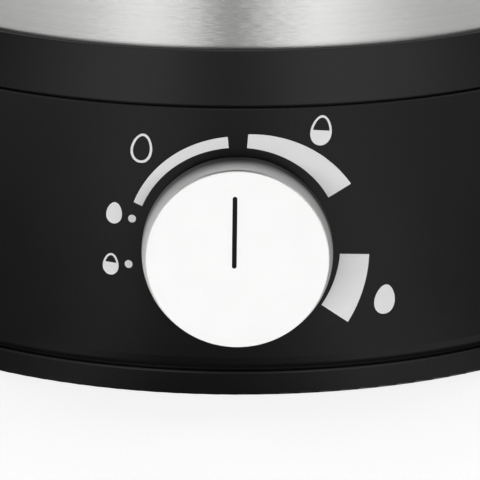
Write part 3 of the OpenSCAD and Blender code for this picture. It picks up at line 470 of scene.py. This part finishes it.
def softened(corners, steps=6):  # a closed profile whose corners (r, z, radius) are rounded
    loop = []
    for i, (r, z, c) in enumerate(corners):
        here = Vector((r, z))
        if c <= 0:
            loop.append(here)
            continue
        back = (Vector(corners[i - 1][:2]) - here).normalized()
        ahead = (Vector(corners[(i + 1) % len(corners)][:2]) - here).normalized()
        half = back.angle(ahead) / 2
        centre = here + (back + ahead).normalized() * (c / sin(half))
        first = here + back * (c / tan(half)) - centre
        last = here + ahead * (c / tan(half)) - centre
        sweep = first.angle(last) * (1 if first.cross(last) > 0 else -1)
        for k in range(steps + 1):
            turn = sweep * k / steps
            loop.append(centre + Vector((first.x * cos(turn) - first.y * sin(turn),
                                         first.x * sin(turn) + first.y * cos(turn))))
    return loop


def turned(loop, steps, closed=True):  # a profile in mm spun about the upright axis
    bm = bmesh.new()
    rings = []
    for k in range(steps):
        turn = 2 * pi * k / steps
        rings.append([bm.verts.new((r * mm * cos(turn), r * mm * sin(turn), z * mm)) for r, z in loop])
    last = len(loop) if closed else len(loop) - 1
    for k in range(steps):
        here, there = rings[k], rings[(k + 1) % steps]
        for i in range(last):
            j = (i + 1) % len(loop)
            bm.faces.new((here[i], there[i], there[j], here[j]))
    bmesh.ops.remove_doubles(bm, verts=bm.verts, dist=1e-7)
    bmesh.ops.dissolve_degenerate(bm, edges=bm.edges, dist=1e-8)
    bmesh.ops.recalc_face_normals(bm, faces=bm.faces)
    return bm


def toMesh(bm, name, transform=None):
    if transform is not None:
        bmesh.ops.transform(bm, matrix=transform, verts=bm.verts)
    mesh = bpy.data.meshes.new(name)
    bm.to_mesh(mesh)
    bm.free()
    return mesh


def prism(outline, low, high, transform, name="prism"):  # a flat outline in mm raised from low to high
    bm = bmesh.new()
    under = [bm.verts.new((x * mm, y * mm, low * mm)) for x, y in outline]
    over = [bm.verts.new((x * mm, y * mm, high * mm)) for x, y in outline]
    bm.faces.new(under[::-1])
    bm.faces.new(over)
    for i in range(len(outline)):
        j = (i + 1) % len(outline)
        bm.faces.new((under[i], under[j], over[j], over[i]))
    bmesh.ops.recalc_face_normals(bm, faces=bm.faces)
    return toMesh(bm, name, transform)


def disc(r, steps):
    return [(r * cos(2 * pi * k / steps), r * sin(2 * pi * k / steps)) for k in range(steps)]


def cutAway(mesh, cutter):  # the mesh less the cutter mesh
    things = bpy.context.scene.collection.objects
    body = bpy.data.objects.new("cutBody", mesh)
    tool = bpy.data.objects.new("cutTool", cutter)
    things.link(body)
    things.link(tool)
    step = body.modifiers.new("cut", "BOOLEAN")
    step.operation = "DIFFERENCE"
    step.solver = "EXACT"
    step.object = tool
    bpy.context.view_layer.update()
    result = bpy.data.meshes.new_from_object(body.evaluated_get(bpy.context.evaluated_depsgraph_get()))
    bpy.data.objects.remove(tool)
    bpy.data.objects.remove(body)
    return result


def joined(meshes, name):
    bm = bmesh.new()
    for mesh in meshes:
        bm.from_mesh(mesh)
    return toMesh(bm, name)


class Pattern(Bench):  # a geometry tree with named inputs
    def __init__(self, name, inputs):
        group = bpy.data.node_groups.new(name, "GeometryNodeTree")
        super().__init__(group)
        face = group.interface
        face.new_socket("Geometry", in_out="INPUT", socket_type="NodeSocketGeometry")
        face.new_socket("Geometry", in_out="OUTPUT", socket_type="NodeSocketGeometry")
        for label, value in inputs.items():
            kind = "NodeSocketInt" if isinstance(value, int) else "NodeSocketFloat"
            face.new_socket(label, in_out="INPUT", socket_type=kind).default_value = value
        self.source = self.node("NodeGroupInput").socket.node
        self.end = self.node("NodeGroupOutput")

    def inlet(self, label):
        return Wire(self, self.source.outputs[label])

    def merge(self, *wires):  # several geometries as one
        made = self.node("GeometryNodeJoinGeometry")
        for wire in wires:
            self.join(wire, made.socket.node.inputs[0])
        return made

    def sheet(self, across, along):  # a grid and its two coordinates, each from 0 to 1
        grid = self.node("GeometryNodeMeshGrid", {}, {"Size X": 1.0, "Size Y": 1.0,
                                                      "Vertices X": across, "Vertices Y": along})
        x, y, z = self.parts(self.node("GeometryNodeInputPosition"))
        return grid, x + 0.5, y + 0.5

    def welded(self, geometry, distance):
        return self.node("GeometryNodeMergeByDistance", {}, {"Geometry": geometry, "Distance": distance})

    def close(self, geometry, material):
        solid = self.node("GeometryNodeRealizeInstances", {}, {"Geometry": geometry})
        done = self.node("GeometryNodeSetMaterial", {}, {"Geometry": solid, "Material": material})
        self.join(done, self.end.inputs[0])

    def grow(self, values):  # runs the tree once and returns a plain mesh
        holder = bpy.data.objects.new("patternHolder", bpy.data.meshes.new("patternSeed"))
        bpy.context.scene.collection.objects.link(holder)
        step = holder.modifiers.new("pattern", "NODES")
        step.node_group = self.tree
        for item in self.tree.interface.items_tree:
            if item.in_out == "INPUT" and item.name in values:
                step[item.identifier] = values[item.name]
        bpy.context.view_layer.update()
        result = bpy.data.meshes.new_from_object(holder.evaluated_get(bpy.context.evaluated_depsgraph_get()))
        holder.modifiers.clear()
        bpy.data.objects.remove(holder)
        return result


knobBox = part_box("knob")
dialAxis = (knobBox[0].z + knobBox[1].z) / 2     # height of the dial's axis, in m

printSpec = {
    "ink": 0.06, "sunk": 0.02,              # thickness of the print and how much of it is in the wall
    "innerRadius": 20.5,                    # the bands' inner edge round the dial
    "bands": [                              # start and end turn from twelve o'clock, outer edge at both,
        (-67.2, -4.9, 22.36, 22.76, 0.0),   # and how far the inner edge moves out along the band
        (5.1, 61.2, 23.3, 25.7, 0.0),
        (95.2, 126.0, 26.55, 27.4, 0.2),
    ],
    "eggs": [                               # beside and above the axis, width, height, lean, line width
        (-18.95, 19.76, 4.34, 6.02, 10.2, 0.49, 32),     # and the first step that is filled
        (-24.62, 6.14, 3.24, 4.42, 7.0, 0.42, 0),
        (-25.40, -4.45, 3.28, 4.46, 4.0, 0.42, 14),
        (16.44, 23.62, 4.28, 6.12, 6.0, 0.46, 16),
        (29.86, -12.08, 4.38, 6.08, 6.5, 0.46, 0),
    ],
    "dots": [(21.6, -76.0, 1.59), (22.1, -100.9, 1.59)],  # radius, turn and width of each dot
    "dotLine": 0.2,                         # a dot's line as a share of its width
    "taper": 0.15,                          # how much narrower an egg's top is
    "bandSteps": 64, "bandRows": 9,
    "eggSteps": 64, "eggRows": 9,
    "weld": 0.002, "crease": 50,
}


def onWall(p, geometry, side, rise):  # lays flat print on the round wall
    radius = p.inlet("Wall Radius")
    turn = side / radius
    spot = p.vector(radius * turn.maths("SINE"), -(radius * turn.maths("COSINE")),
                    rise + p.inlet("Axis Height"))
    laid = p.node("GeometryNodeSetPosition", {}, {"Geometry": geometry, "Position": spot})
    return p.welded(laid, printSpec["weld"] * mm)


def thickened(p, laid):  # gives the print its two sides and its edge
    top = p.node("GeometryNodeExtrudeMesh", {"mode": "FACES"},
                 {"Mesh": laid, "Offset Scale": p.inlet("Ink"), "Individual": False})
    under = p.node("GeometryNodeFlipFaces", {}, {"Mesh": laid})
    return p.welded(p.merge(top, under), printSpec["weld"] * mm)


def bandPattern():  # a tapering band bent round the dial, on the wall
    p = Pattern("dialBand", {"Start Angle": 0.0, "End Angle": 1.0, "Inner Start": 0.02, "Inner End": 0.02,
                             "Outer Start": 0.023, "Outer End": 0.024, "Wall Radius": 0.085,
                             "Axis Height": 0.03, "Ink": 0.0001, "Steps": printSpec["bandSteps"]})
    grid, u, v = p.sheet(p.inlet("Steps"), printSpec["bandRows"])
    angle = p.inlet("Start Angle") + u * (p.inlet("End Angle") - p.inlet("Start Angle"))
    inner = p.inlet("Inner Start") + u * (p.inlet("Inner End") - p.inlet("Inner Start"))
    outer = p.inlet("Outer Start") + u * (p.inlet("Outer End") - p.inlet("Outer Start"))
    reach = inner + v * (outer - inner)
    laid = onWall(p, grid, reach * angle.maths("SINE"), reach * angle.maths("COSINE"))
    p.close(thickened(p, laid), printInk)
    return p


def eggPattern():  # an egg sign: an outline, filled from one step of it downwards
    steps = printSpec["eggSteps"]
    p = Pattern("eggSign", {"Width": 0.004, "Height": 0.006, "Taper": 0.15, "Lean": 0.0,
                            "Side": 0.0, "Rise": 0.0, "Line": 0.0005, "Fill Step": 0,
                            "Wall Radius": 0.085, "Axis Height": 0.03, "Ink": 0.0001})
    lean = p.inlet("Lean")
    spread = 1.0 + 0.5 * p.inlet("Taper") ** 2.0

    def outline(turn, inset, across=1.0):  # a point of the egg, measured from the dial's axis
        narrowed = 1.0 - p.inlet("Taper") * turn.maths("COSINE")
        x = (p.inlet("Width") * 0.5 - inset) * turn.maths("SINE") * narrowed / spread * across
        y = (p.inlet("Height") * 0.5 - inset) * turn.maths("COSINE")
        return (p.inlet("Side") + x * lean.maths("COSINE") + y * lean.maths("SINE"),
                p.inlet("Rise") + y * lean.maths("COSINE") - x * lean.maths("SINE"))

    ring, u, v = p.sheet(steps + 1, 2)
    outer = onWall(p, ring, *outline(u * (2 * pi), p.inlet("Line") * (1.0 - v)))
    rows = (steps / 2 + 1) - p.inlet("Fill Step")
    fill, u, v = p.sheet(printSpec["eggRows"], rows)
    turn = pi - v * (pi - p.inlet("Fill Step") * (2 * pi / steps))
    inner = onWall(p, fill, *outline(turn, p.inlet("Line"), u * 2.0 - 1.0))
    both = p.welded(p.merge(outer, inner), 2 * printSpec["weld"] * mm)
    p.close(thickened(p, both), printInk)
    return p


def printedMarks():  # the dial's scale on the band
    s = printSpec
    shared = {"Wall Radius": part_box("housing")[1].x - s["sunk"] * mm, "Axis Height": dialAxis,
              "Ink": s["ink"] * mm}
    band, egg = bandPattern(), eggPattern()
    made = []
    for i, (start, end, first, last, widen) in enumerate(s["bands"]):
        made.append(("dialBand%d" % (i + 1), band.grow({
            **shared, "Start Angle": radians(start), "End Angle": radians(end),
            "Inner Start": s["innerRadius"] * mm, "Inner End": (s["innerRadius"] + widen) * mm,
            "Outer Start": first * mm, "Outer End": last * mm})))
    for i, (side, rise, wide, high, lean, line, first) in enumerate(s["eggs"]):
        made.append(("eggSign%d" % (i + 1), egg.grow({
            **shared, "Width": wide * mm, "Height": high * mm, "Taper": s["taper"], "Lean": radians(lean),
            "Side": side * mm, "Rise": rise * mm, "Line": line * mm, "Fill Step": first})))
    for i, (reach, angle, wide) in enumerate(s["dots"]):
        made.append(("timerDot%d" % (i + 1), egg.grow({
            **shared, "Width": wide * mm, "Height": wide * mm, "Taper": 0.0, "Lean": 0.0,
            "Side": reach * mm * sin(radians(angle)), "Rise": reach * mm * cos(radians(angle)),
            "Line": wide * mm * s["dotLine"], "Fill Step": 0})))
    for name, mesh in made:
        settle(name, mesh, printInk, "base", crease=s["crease"])
    print("printed marks:", len(made))


printedMarks()

# The dial is drawn about its own axis, with depths measured out from the cooker's axis
dialFront, dialBack = -knobBox[0].y / mm, -knobBox[1].y / mm
dialBackR = (knobBox[1].x - knobBox[0].x) / 2 / mm
dialOutwards = Matrix.Translation((0, 0, dialAxis)) @ Matrix.Rotation(radians(90), 4, "X")

dialSpec = {
    "face": 17.96, "faceThick": 1.9,        # radius and thickness of the face
    "rim": 0.3,                             # rounding of its edge
    "seam": (0.42, 1.05, 0.35),             # start and end of the fine seam behind it, and its depth
    "seamTaper": 0.03, "seamSoft": 0.05,
    "bow": 4.4,                             # how fast the skirt curves in towards the seam
    "skirtSteps": 24, "steps": 256,
    "wall": 1.8, "foot": 0.12,              # the skirt's wall and the chamfer at its foot
    "footSoft": 0.3, "cornerSoft": 0.5,
    "hub": 5.8, "hubLow": 86.9, "hubSteps": 96,
    "bore": 3.05, "flat": 2.06, "boreShort": 0.3, "boreSteps": 48,
    "webs": 6, "webThick": 1.2, "webDeep": 2.2, "webIn": 0.5, "webOut": 0.3,
    "bite": 0.01,                           # how far the hub and webs reach into the face
    "crease": 28,
}
pointerSpec = {
    "wide": 0.9, "long": 14.6, "low": -1.78,
    "side": -0.54, "lean": 0.5,
    "deep": 0.6, "under": 0.012,            # depth of its pocket, and how far it lies below the face
    "room": 0.02, "endSteps": 20,
}


def dialProfile():  # radius and depth, from the middle of the face round to the middle of its inside
    s = dialSpec
    face, foot, inside = s["face"], dialBack + s["foot"], dialFront - s["faceThick"]
    seamFront, seamBack = dialFront - s["seam"][0], dialFront - s["seam"][1]
    seamR = face - s["seam"][2]
    front = softened([
        (0.0, dialFront, 0), (face, dialFront, s["rim"]), (face, seamFront, s["seamSoft"]),
        (seamR, seamFront - s["seamTaper"], s["seamTaper"]),
        (seamR, seamBack + s["seamTaper"], s["seamTaper"]),
        (face - 0.02, seamBack, 0), (0.0, seamBack, 0),
    ])[:-2]  # the last two corners only turn the one before them
    skirt = []
    for k in range(s["skirtSteps"], -1, -1):
        t = k / s["skirtSteps"]
        skirt.append(Vector((dialBackR - (dialBackR - face) * t ** s["bow"], foot + (seamBack - foot) * t)))
    rear = softened([
        (0.0, dialBack + 1.0, 0), (dialBackR, foot, 0), (dialBackR - s["foot"], dialBack, 0),
        (dialBackR - s["wall"], dialBack, s["footSoft"]), (face - s["wall"], inside, s["cornerSoft"]),
        (0.0, inside, 0),
    ])[2:]
    return front + skirt + rear


def pointerOutline(r):  # a bar with round ends, r to either side of its middle line
    s = pointerSpec
    low, high = s["low"] + s["wide"] / 2, s["low"] + s["long"] - s["wide"] / 2
    turns = [pi * k / s["endSteps"] for k in range(s["endSteps"] + 1)]
    upper = [(s["side"] + r * cos(turn), high + r * sin(turn)) for turn in turns]
    lower = [(s["side"] - r * cos(turn), low - r * sin(turn)) for turn in turns]
    lean = tan(radians(s["lean"]))
    return [(x + (y - (low + high) / 2) * lean, y) for x, y in upper + lower]


def dialHub(top):  # the hub with its flatted bore, and the webs that carry it
    s = dialSpec
    flatted = [(x, min(y, s["flat"])) for x, y in disc(s["bore"], s["boreSteps"])]
    hub = cutAway(prism(disc(s["hub"], s["hubSteps"]), s["hubLow"], top, dialOutwards),
                  prism(flatted, s["hubLow"] - 1, top - s["boreShort"], dialOutwards))
    near, far, half = s["hub"] - s["webIn"], s["face"] - s["wall"] + s["webOut"], s["webThick"] / 2
    web = [(near, -half), (far, -half), (far, half), (near, half)]
    turns = [dialOutwards @ Matrix.Rotation(2 * pi * k / s["webs"], 4, "Z") for k in range(s["webs"])]
    return [hub, *[prism(web, top - s["webDeep"], top, turn) for turn in turns]]


def dial():
    s, p = dialSpec, pointerSpec
    half, pocketLow = p["wide"] / 2, dialFront - p["deep"]
    shell = toMesh(turned(dialProfile(), s["steps"], closed=False), "dialShell", dialOutwards)
    shell = cutAway(shell, prism(pointerOutline(half + p["room"]), pocketLow, dialFront + 1, dialOutwards))
    hub = dialHub(dialFront - s["faceThick"] + s["bite"])
    settle("dialKnob", joined([shell, *hub], "dialKnob"), dialWhite(dialBack, dialAxis / mm), "dial",
           ["knob"], crease=s["crease"])
    inlay = prism(pointerOutline(half), pocketLow, dialFront - p["under"], dialOutwards, "dialPointer")
    settle("dialPointer", inlay, pointerInk, "dial", ["knob_pointer"], crease=s["crease"])
    print("dial made")


dial()

collarSpec = {
    "lean": 3.0,                            # how far it leans in from foot to lip
    "lipWide": 1.1, "ledge": 4.35, "inner": 76.0,
    "footSoft": 0.22, "lipSoft": 0.85, "innerSoft": 0.3, "cornerSoft": 0.1, "backSoft": 0.2,
    "softSteps": 16, "steps": 320,
    "polish": (0.62, 0.85),                 # upward share of the normals on the lip's polished edge
    "polishDeep": 1.0, "polishIn": 0.1,
}


def collarRing():
    s = collarSpec
    low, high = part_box("collar")
    outer, seat, top = high.x / mm, low.z / mm, high.z / mm
    lipOut = outer - s["lean"]
    lipIn = lipOut - s["lipWide"]
    ledge = seat + s["ledge"]
    loop = softened([
        (s["inner"], seat, s["backSoft"]), (outer, seat, s["footSoft"]),
        (lipOut, top, s["lipSoft"]), (lipIn, top, s["cornerSoft"]),
        (lipIn, ledge, s["cornerSoft"]), (s["inner"], ledge, s["innerSoft"]),
    ], s["softSteps"])
    mesh = toMesh(turned(loop, s["steps"]), "collarRing")
    settle("collarRing", mesh, housingBlack, "base", ["collar"])
    mesh.materials.append(lipPolish)
    for face in mesh.polygons:
        upper = face.center.z > (top - s["polishDeep"]) * mm
        outside = face.center.xy.length > (lipIn + s["polishIn"]) * mm
        if s["polish"][0] < face.normal.z < s["polish"][1] and upper and outside:
            face.material_index = 1


wallSpec = {
    "sheet": 0.8, "bend": 4.0, "inner": 73.2,    # thickness, radius of the rolled shoulder, radius of the rim
    "bendStart": 4, "bendSteps": 20, "steps": 360,
}


def steelWall():
    s = wallSpec
    low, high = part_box("steel_shell")
    outer, foot, top = high.x / mm, low.z / mm, high.z / mm
    x, z = outer - s["bend"], top - s["bend"]
    loop = [Vector((outer, foot)), Vector((outer, z))]
    loop += arcPoints(x, z, s["bend"], s["bendStart"], 90, s["bendSteps"])
    loop += [Vector((s["inner"], top)), Vector((s["inner"], top - s["sheet"]))]
    loop += arcPoints(x, z, s["bend"] - s["sheet"], 90, 0, s["bendSteps"])
    loop += [Vector((outer - s["sheet"], foot))]
    mesh = toMesh(turned(loop, s["steps"]), "steelWall")
    settle("steelWall", mesh, wallSteel, "base", ["steel_shell"])


rimSpec = {
    "top": 6.2, "proud": 0.01,              # top of the bottom plate's rim, and the ring's rise over it
    "soft": 0.505, "deep": 0.2,
    "softSteps": 12, "steps": 320,
}


def rimEdge():  # the rim's rounded upper edge
    s = rimSpec
    outer = -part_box("bottom_plate")[0].x / mm
    x, z = outer - s["soft"], s["top"] + s["proud"] - s["soft"]
    loop = arcPoints(x, z, s["soft"], 0, 90, s["softSteps"])
    loop += [Vector((x, z + s["deep"])), Vector((x + s["deep"], z))]
    settle("rimEdge", toMesh(turned(loop, s["steps"]), "rimEdge"), housingBlack, "base")


collarRing()
steelWall()
rimEdge()
print("collar, steel wall and rim edge made")

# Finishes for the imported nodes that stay
nodeFinish = {
    housingBlack: ["bottom_plate", "housing", "switch_housing", "buzzer"],
    footRubber: ["rubber_feet", "cord_gland"],
    zincSteel: ["base_screws", "collar_screws", "bowl_studs", "bowl_nuts", "element_terminals",
                "thermostat_strap", "strap_screws", "board_screws", "dial_nut", "dial_shaft", "knob_clip",
                "terminal_screws", "tray_screw", "lid_screw"],
    bowlSteel: ["heating_bowl"],
    traySteel: ["egg_tray"],
    siliconeGrey: ["bowl_gasket", "lid_washer"],
    castAluminium: ["heat_spreader"],
    sheathMetal: ["heating_element"],
    phenolicBrown: ["thermostat"],
    ceramicWhite: ["thermal_fuse", "terminal_block"],
    shieldAluminium: ["heat_shield"],
    boardGreen: ["control_board"],
    controlCase: ["dial_control"],
    relayBlue: ["relay"],
    windingYellow: ["transformer"],
    capacitorRed: ["filter_capacitor"],
    contactBrass: ["switch_contacts"],
    rockerBlack: ["rocker"],
    lensRed: ["rocker_lens"],
    handleBlack: ["tray_handle", "lid_knob"],
    capSteel: ["lid_knob_cap"],
    lidClear: ["lid"],
}
for finish, names in nodeFinish.items():
    for name in names:
        for place in frame["nodes"][name].material_slots:
            place.material = finish
print("packed nodes finished")

cameraSpec = {
    "focal": 4700.36, "picture": 480.0,     # focal length and width of the picture, in its own pixels
    "sensor": 36.0, "clip": (0.01, 60.0),
    "distance": 1.01266, "elevation": 16.8, "aim": (0.000504, 0.0, 0.00779), "roll": 0.15,
}


def outwards(azimuth, elevation):  # unit vector, azimuth 0 at the front and 90 at the right
    a, e = radians(azimuth), radians(elevation)
    return Vector((sin(a) * cos(e), -cos(a) * cos(e), sin(e)))


def makeCamera():
    s = cameraSpec
    lens = bpy.data.cameras.new("photoCamera")
    lens.sensor_width = s["sensor"]
    lens.sensor_fit = "HORIZONTAL"
    lens.lens = s["focal"] / s["picture"] * lens.sensor_width
    lens.clip_start, lens.clip_end = s["clip"]
    camera = bpy.data.objects.new("photoCamera", lens)
    bpy.context.scene.collection.objects.link(camera)
    back = outwards(0, s["elevation"])
    camera.location = Vector(s["aim"]) + back * s["distance"]
    camera.rotation_mode = "QUATERNION"
    camera.rotation_quaternion = (-back).to_track_quat("-Z", "Y") @ Quaternion((0, 0, 1), radians(s["roll"]))
    bpy.context.scene.camera = camera


studio = {
    "white": 0.947,                         # the picture's background
    # Brightness round the room as gloss sees it: turn in degrees from the front, and level
    "near": [(-180, 0.2), (-140, 0.1), (-110, 0.02), (-54, 0.0), (-38, 0.11), (-24, 0.41), (-12, 0.02),
             (-2, 0.0), (8, 0.19), (20, 0.68), (34, 0.57), (50, 0.09), (66, 0.0), (110, 0.05),
             (140, 0.25), (180, 0.2)],
    "middle": [(-180, 0.3), (-140, 0.3), (-110, 0.1), (-72, 0.0), (-54, 0.05), (-38, 0.44), (-24, 1.08),
               (-12, 0.82), (-2, 0.0), (8, 0.61), (20, 0.84), (34, 0.7), (50, 0.48), (66, 0.0),
               (110, 0.1), (140, 0.45), (180, 0.3)],
    "far": [(-180, 0.25), (-165, 0.6), (-140, 0.85), (-115, 0.4), (-92, 0.24), (-72, 0.60), (-54, 0.60),
            (-38, 0.46), (-24, 0.56), (-12, 0.66), (-2, 0.05), (8, 0.44), (20, 0.68), (34, 0.25),
            (50, 0.12), (66, 0.44), (84, 0.73), (110, 0.5), (140, 0.85), (165, 0.6), (180, 0.25)],
    "sky": [(-180, 0.3), (-165, 0.8), (-140, 1.2), (-115, 0.4), (-92, 0.0), (-72, 0.29), (-54, 0.83),
            (-38, 1.50), (-24, 1.80), (-12, 0.75), (-2, 0.22), (8, 0.83), (20, 1.72), (34, 1.65),
            (50, 1.34), (66, 0.77), (84, 0.24), (110, 0.4), (140, 1.2), (165, 0.8), (180, 0.3)],
    "brightest": 2.0,                       # a ramp holds levels up to 1, so they are shares of this
    "middleReach": 0.26,                    # where the middle of the floor is, in m from the cooker's axis
    "reachStep": 0.10,                      # and how far it is from there to the near and the far floor
    "topGlow": 1.0, "topRise": (0.5, 0.85),      # level overhead, and the rise over which it takes over
    "ambient": 0.02,                        # even light from the room
    "floorSize": 30.0,
    "floorTone": 0.35,                      # the floor's own white, which takes the shadow
    "floorGrain": 0.02, "floorCloud": 3.0, "floorRough": 0.9,
    "floorLight": 0.22,                     # light on the floor where nothing shades it
    "floorBounce": 0.34,                    # what the floor sends back up
    "lampAim": (0, -0.05, 0.05),
    "lamps": [                              # azimuth, elevation, distance, width, height, power
        (-25, -1, 1.5, 0.7, 0.13, 12.4),
        (19, 1, 1.5, 0.7, 0.13, 10.8),
        (125, 30, 1.3, 0.5, 0.5, 2.0),
        (150, 42, 1.2, 0.6, 0.6, 4.5),
        (-140, 42, 1.2, 0.6, 0.6, 4.5),
        (180, 52, 1.2, 0.6, 0.5, 5.0),
    ],
}


def glow(bench, x, y, name):  # brightness by the turn about the upright axis
    turn = x.maths("ARCTAN2", -y) * (0.5 / pi) + 0.5
    stops = []
    for angle, level in studio[name]:
        share = level / studio["brightest"]
        stops.append((angle / 360 + 0.5, (share, share, share, 1.0)))
    return bench.node("ShaderNodeValToRGB", {"stops": stops}, [turn]) * studio["brightest"]


def rayKinds(bench):  # camera or see-through rays, gloss rays and all others, each 0 or 1
    path = bench.node("ShaderNodeLightPath").socket.node.outputs
    camera, glossy, through = [Wire(bench, path[name]) for name in
                               ("Is Camera Ray", "Is Glossy Ray", "Is Transmission Ray")]
    plain = camera.maths("MAXIMUM", through)
    return plain, (1.0 - plain) * glossy, (1.0 - plain) * (1.0 - glossy)


def makeWorld():
    s = studio
    world = bpy.data.worlds.new("studioWorld")
    world.use_nodes = True
    bpy.context.scene.world = world
    b = Bench(world.node_tree)
    b.tree.nodes.clear()
    x, y, z = b.parts(b.node("ShaderNodeTexCoord"))
    over = b.between(z, *s["topRise"])
    seen = glow(b, x, y, "sky") * (1.0 - over) + over * s["topGlow"]
    plain, gloss, rest = rayKinds(b)
    level = plain * s["white"] + gloss * seen + rest * s["ambient"]
    ground = b.node("ShaderNodeBackground", {}, {"Color": (1, 1, 1, 1), "Strength": level})
    b.node("ShaderNodeOutputWorld", {}, {"Surface": ground})


def makeFloor():
    s = studio
    bm = bmesh.new()
    bmesh.ops.create_grid(bm, x_segments=8, y_segments=8, size=s["floorSize"])
    floor = bpy.data.objects.new("studioFloor", toMesh(bm, "studioFloor"))
    bpy.context.scene.collection.objects.link(floor)
    f = Finish("studioFloor", Specular_IOR_Level=0.0, Roughness=s["floorRough"], Emission_Color=(1, 1, 1, 1))
    spot = f.place(1.0)
    x, y, z = f.parts(spot)
    tone = s["floorTone"] * (1 - s["floorGrain"] / 2 + s["floorGrain"] * f.noise(spot, s["floorCloud"]))
    f.set("Base Color", f.node("ShaderNodeCombineColor", {}, [tone, tone, tone]))
    step = ((x * x + y * y).maths("SQRT") - s["middleReach"]) / s["reachStep"]
    nearShare = (-step).maths("MAXIMUM", 0.0).maths("MINIMUM", 1.0)
    farShare = step.maths("MAXIMUM", 0.0).maths("MINIMUM", 1.0)
    seen = (glow(f, x, y, "near") * nearShare + glow(f, x, y, "far") * farShare
            + glow(f, x, y, "middle") * (1.0 - nearShare - farShare))
    plain, gloss, rest = rayKinds(f)
    lit = s["floorTone"] * s["floorLight"]
    f.set("Emission Strength", plain * (s["white"] - lit) + gloss * seen + rest * s["floorBounce"])
    floor.data.materials.append(f.material)


def makeLamps():  # soft boxes that light the cooker, while its gloss sees the room's glow
    for i, (azimuth, elevation, distance, wide, high, power) in enumerate(studio["lamps"]):
        lamp = bpy.data.lights.new("softBox%d" % (i + 1), "AREA")
        lamp.shape = "RECTANGLE"
        lamp.size, lamp.size_y = wide, high
        lamp.energy = power
        obj = bpy.data.objects.new(lamp.name, lamp)
        bpy.context.scene.collection.objects.link(obj)
        back = outwards(azimuth, elevation)
        obj.location = Vector(studio["lampAim"]) + back * distance
        obj.rotation_mode = "QUATERNION"
        obj.rotation_quaternion = (-back).to_track_quat("-Z", "Y")
        obj.visible_camera = False
        obj.visible_glossy = False


makeCamera()
makeWorld()
makeFloor()
makeLamps()
bpy.context.scene.view_settings.view_transform = "Standard"
print("camera, floor and light set")
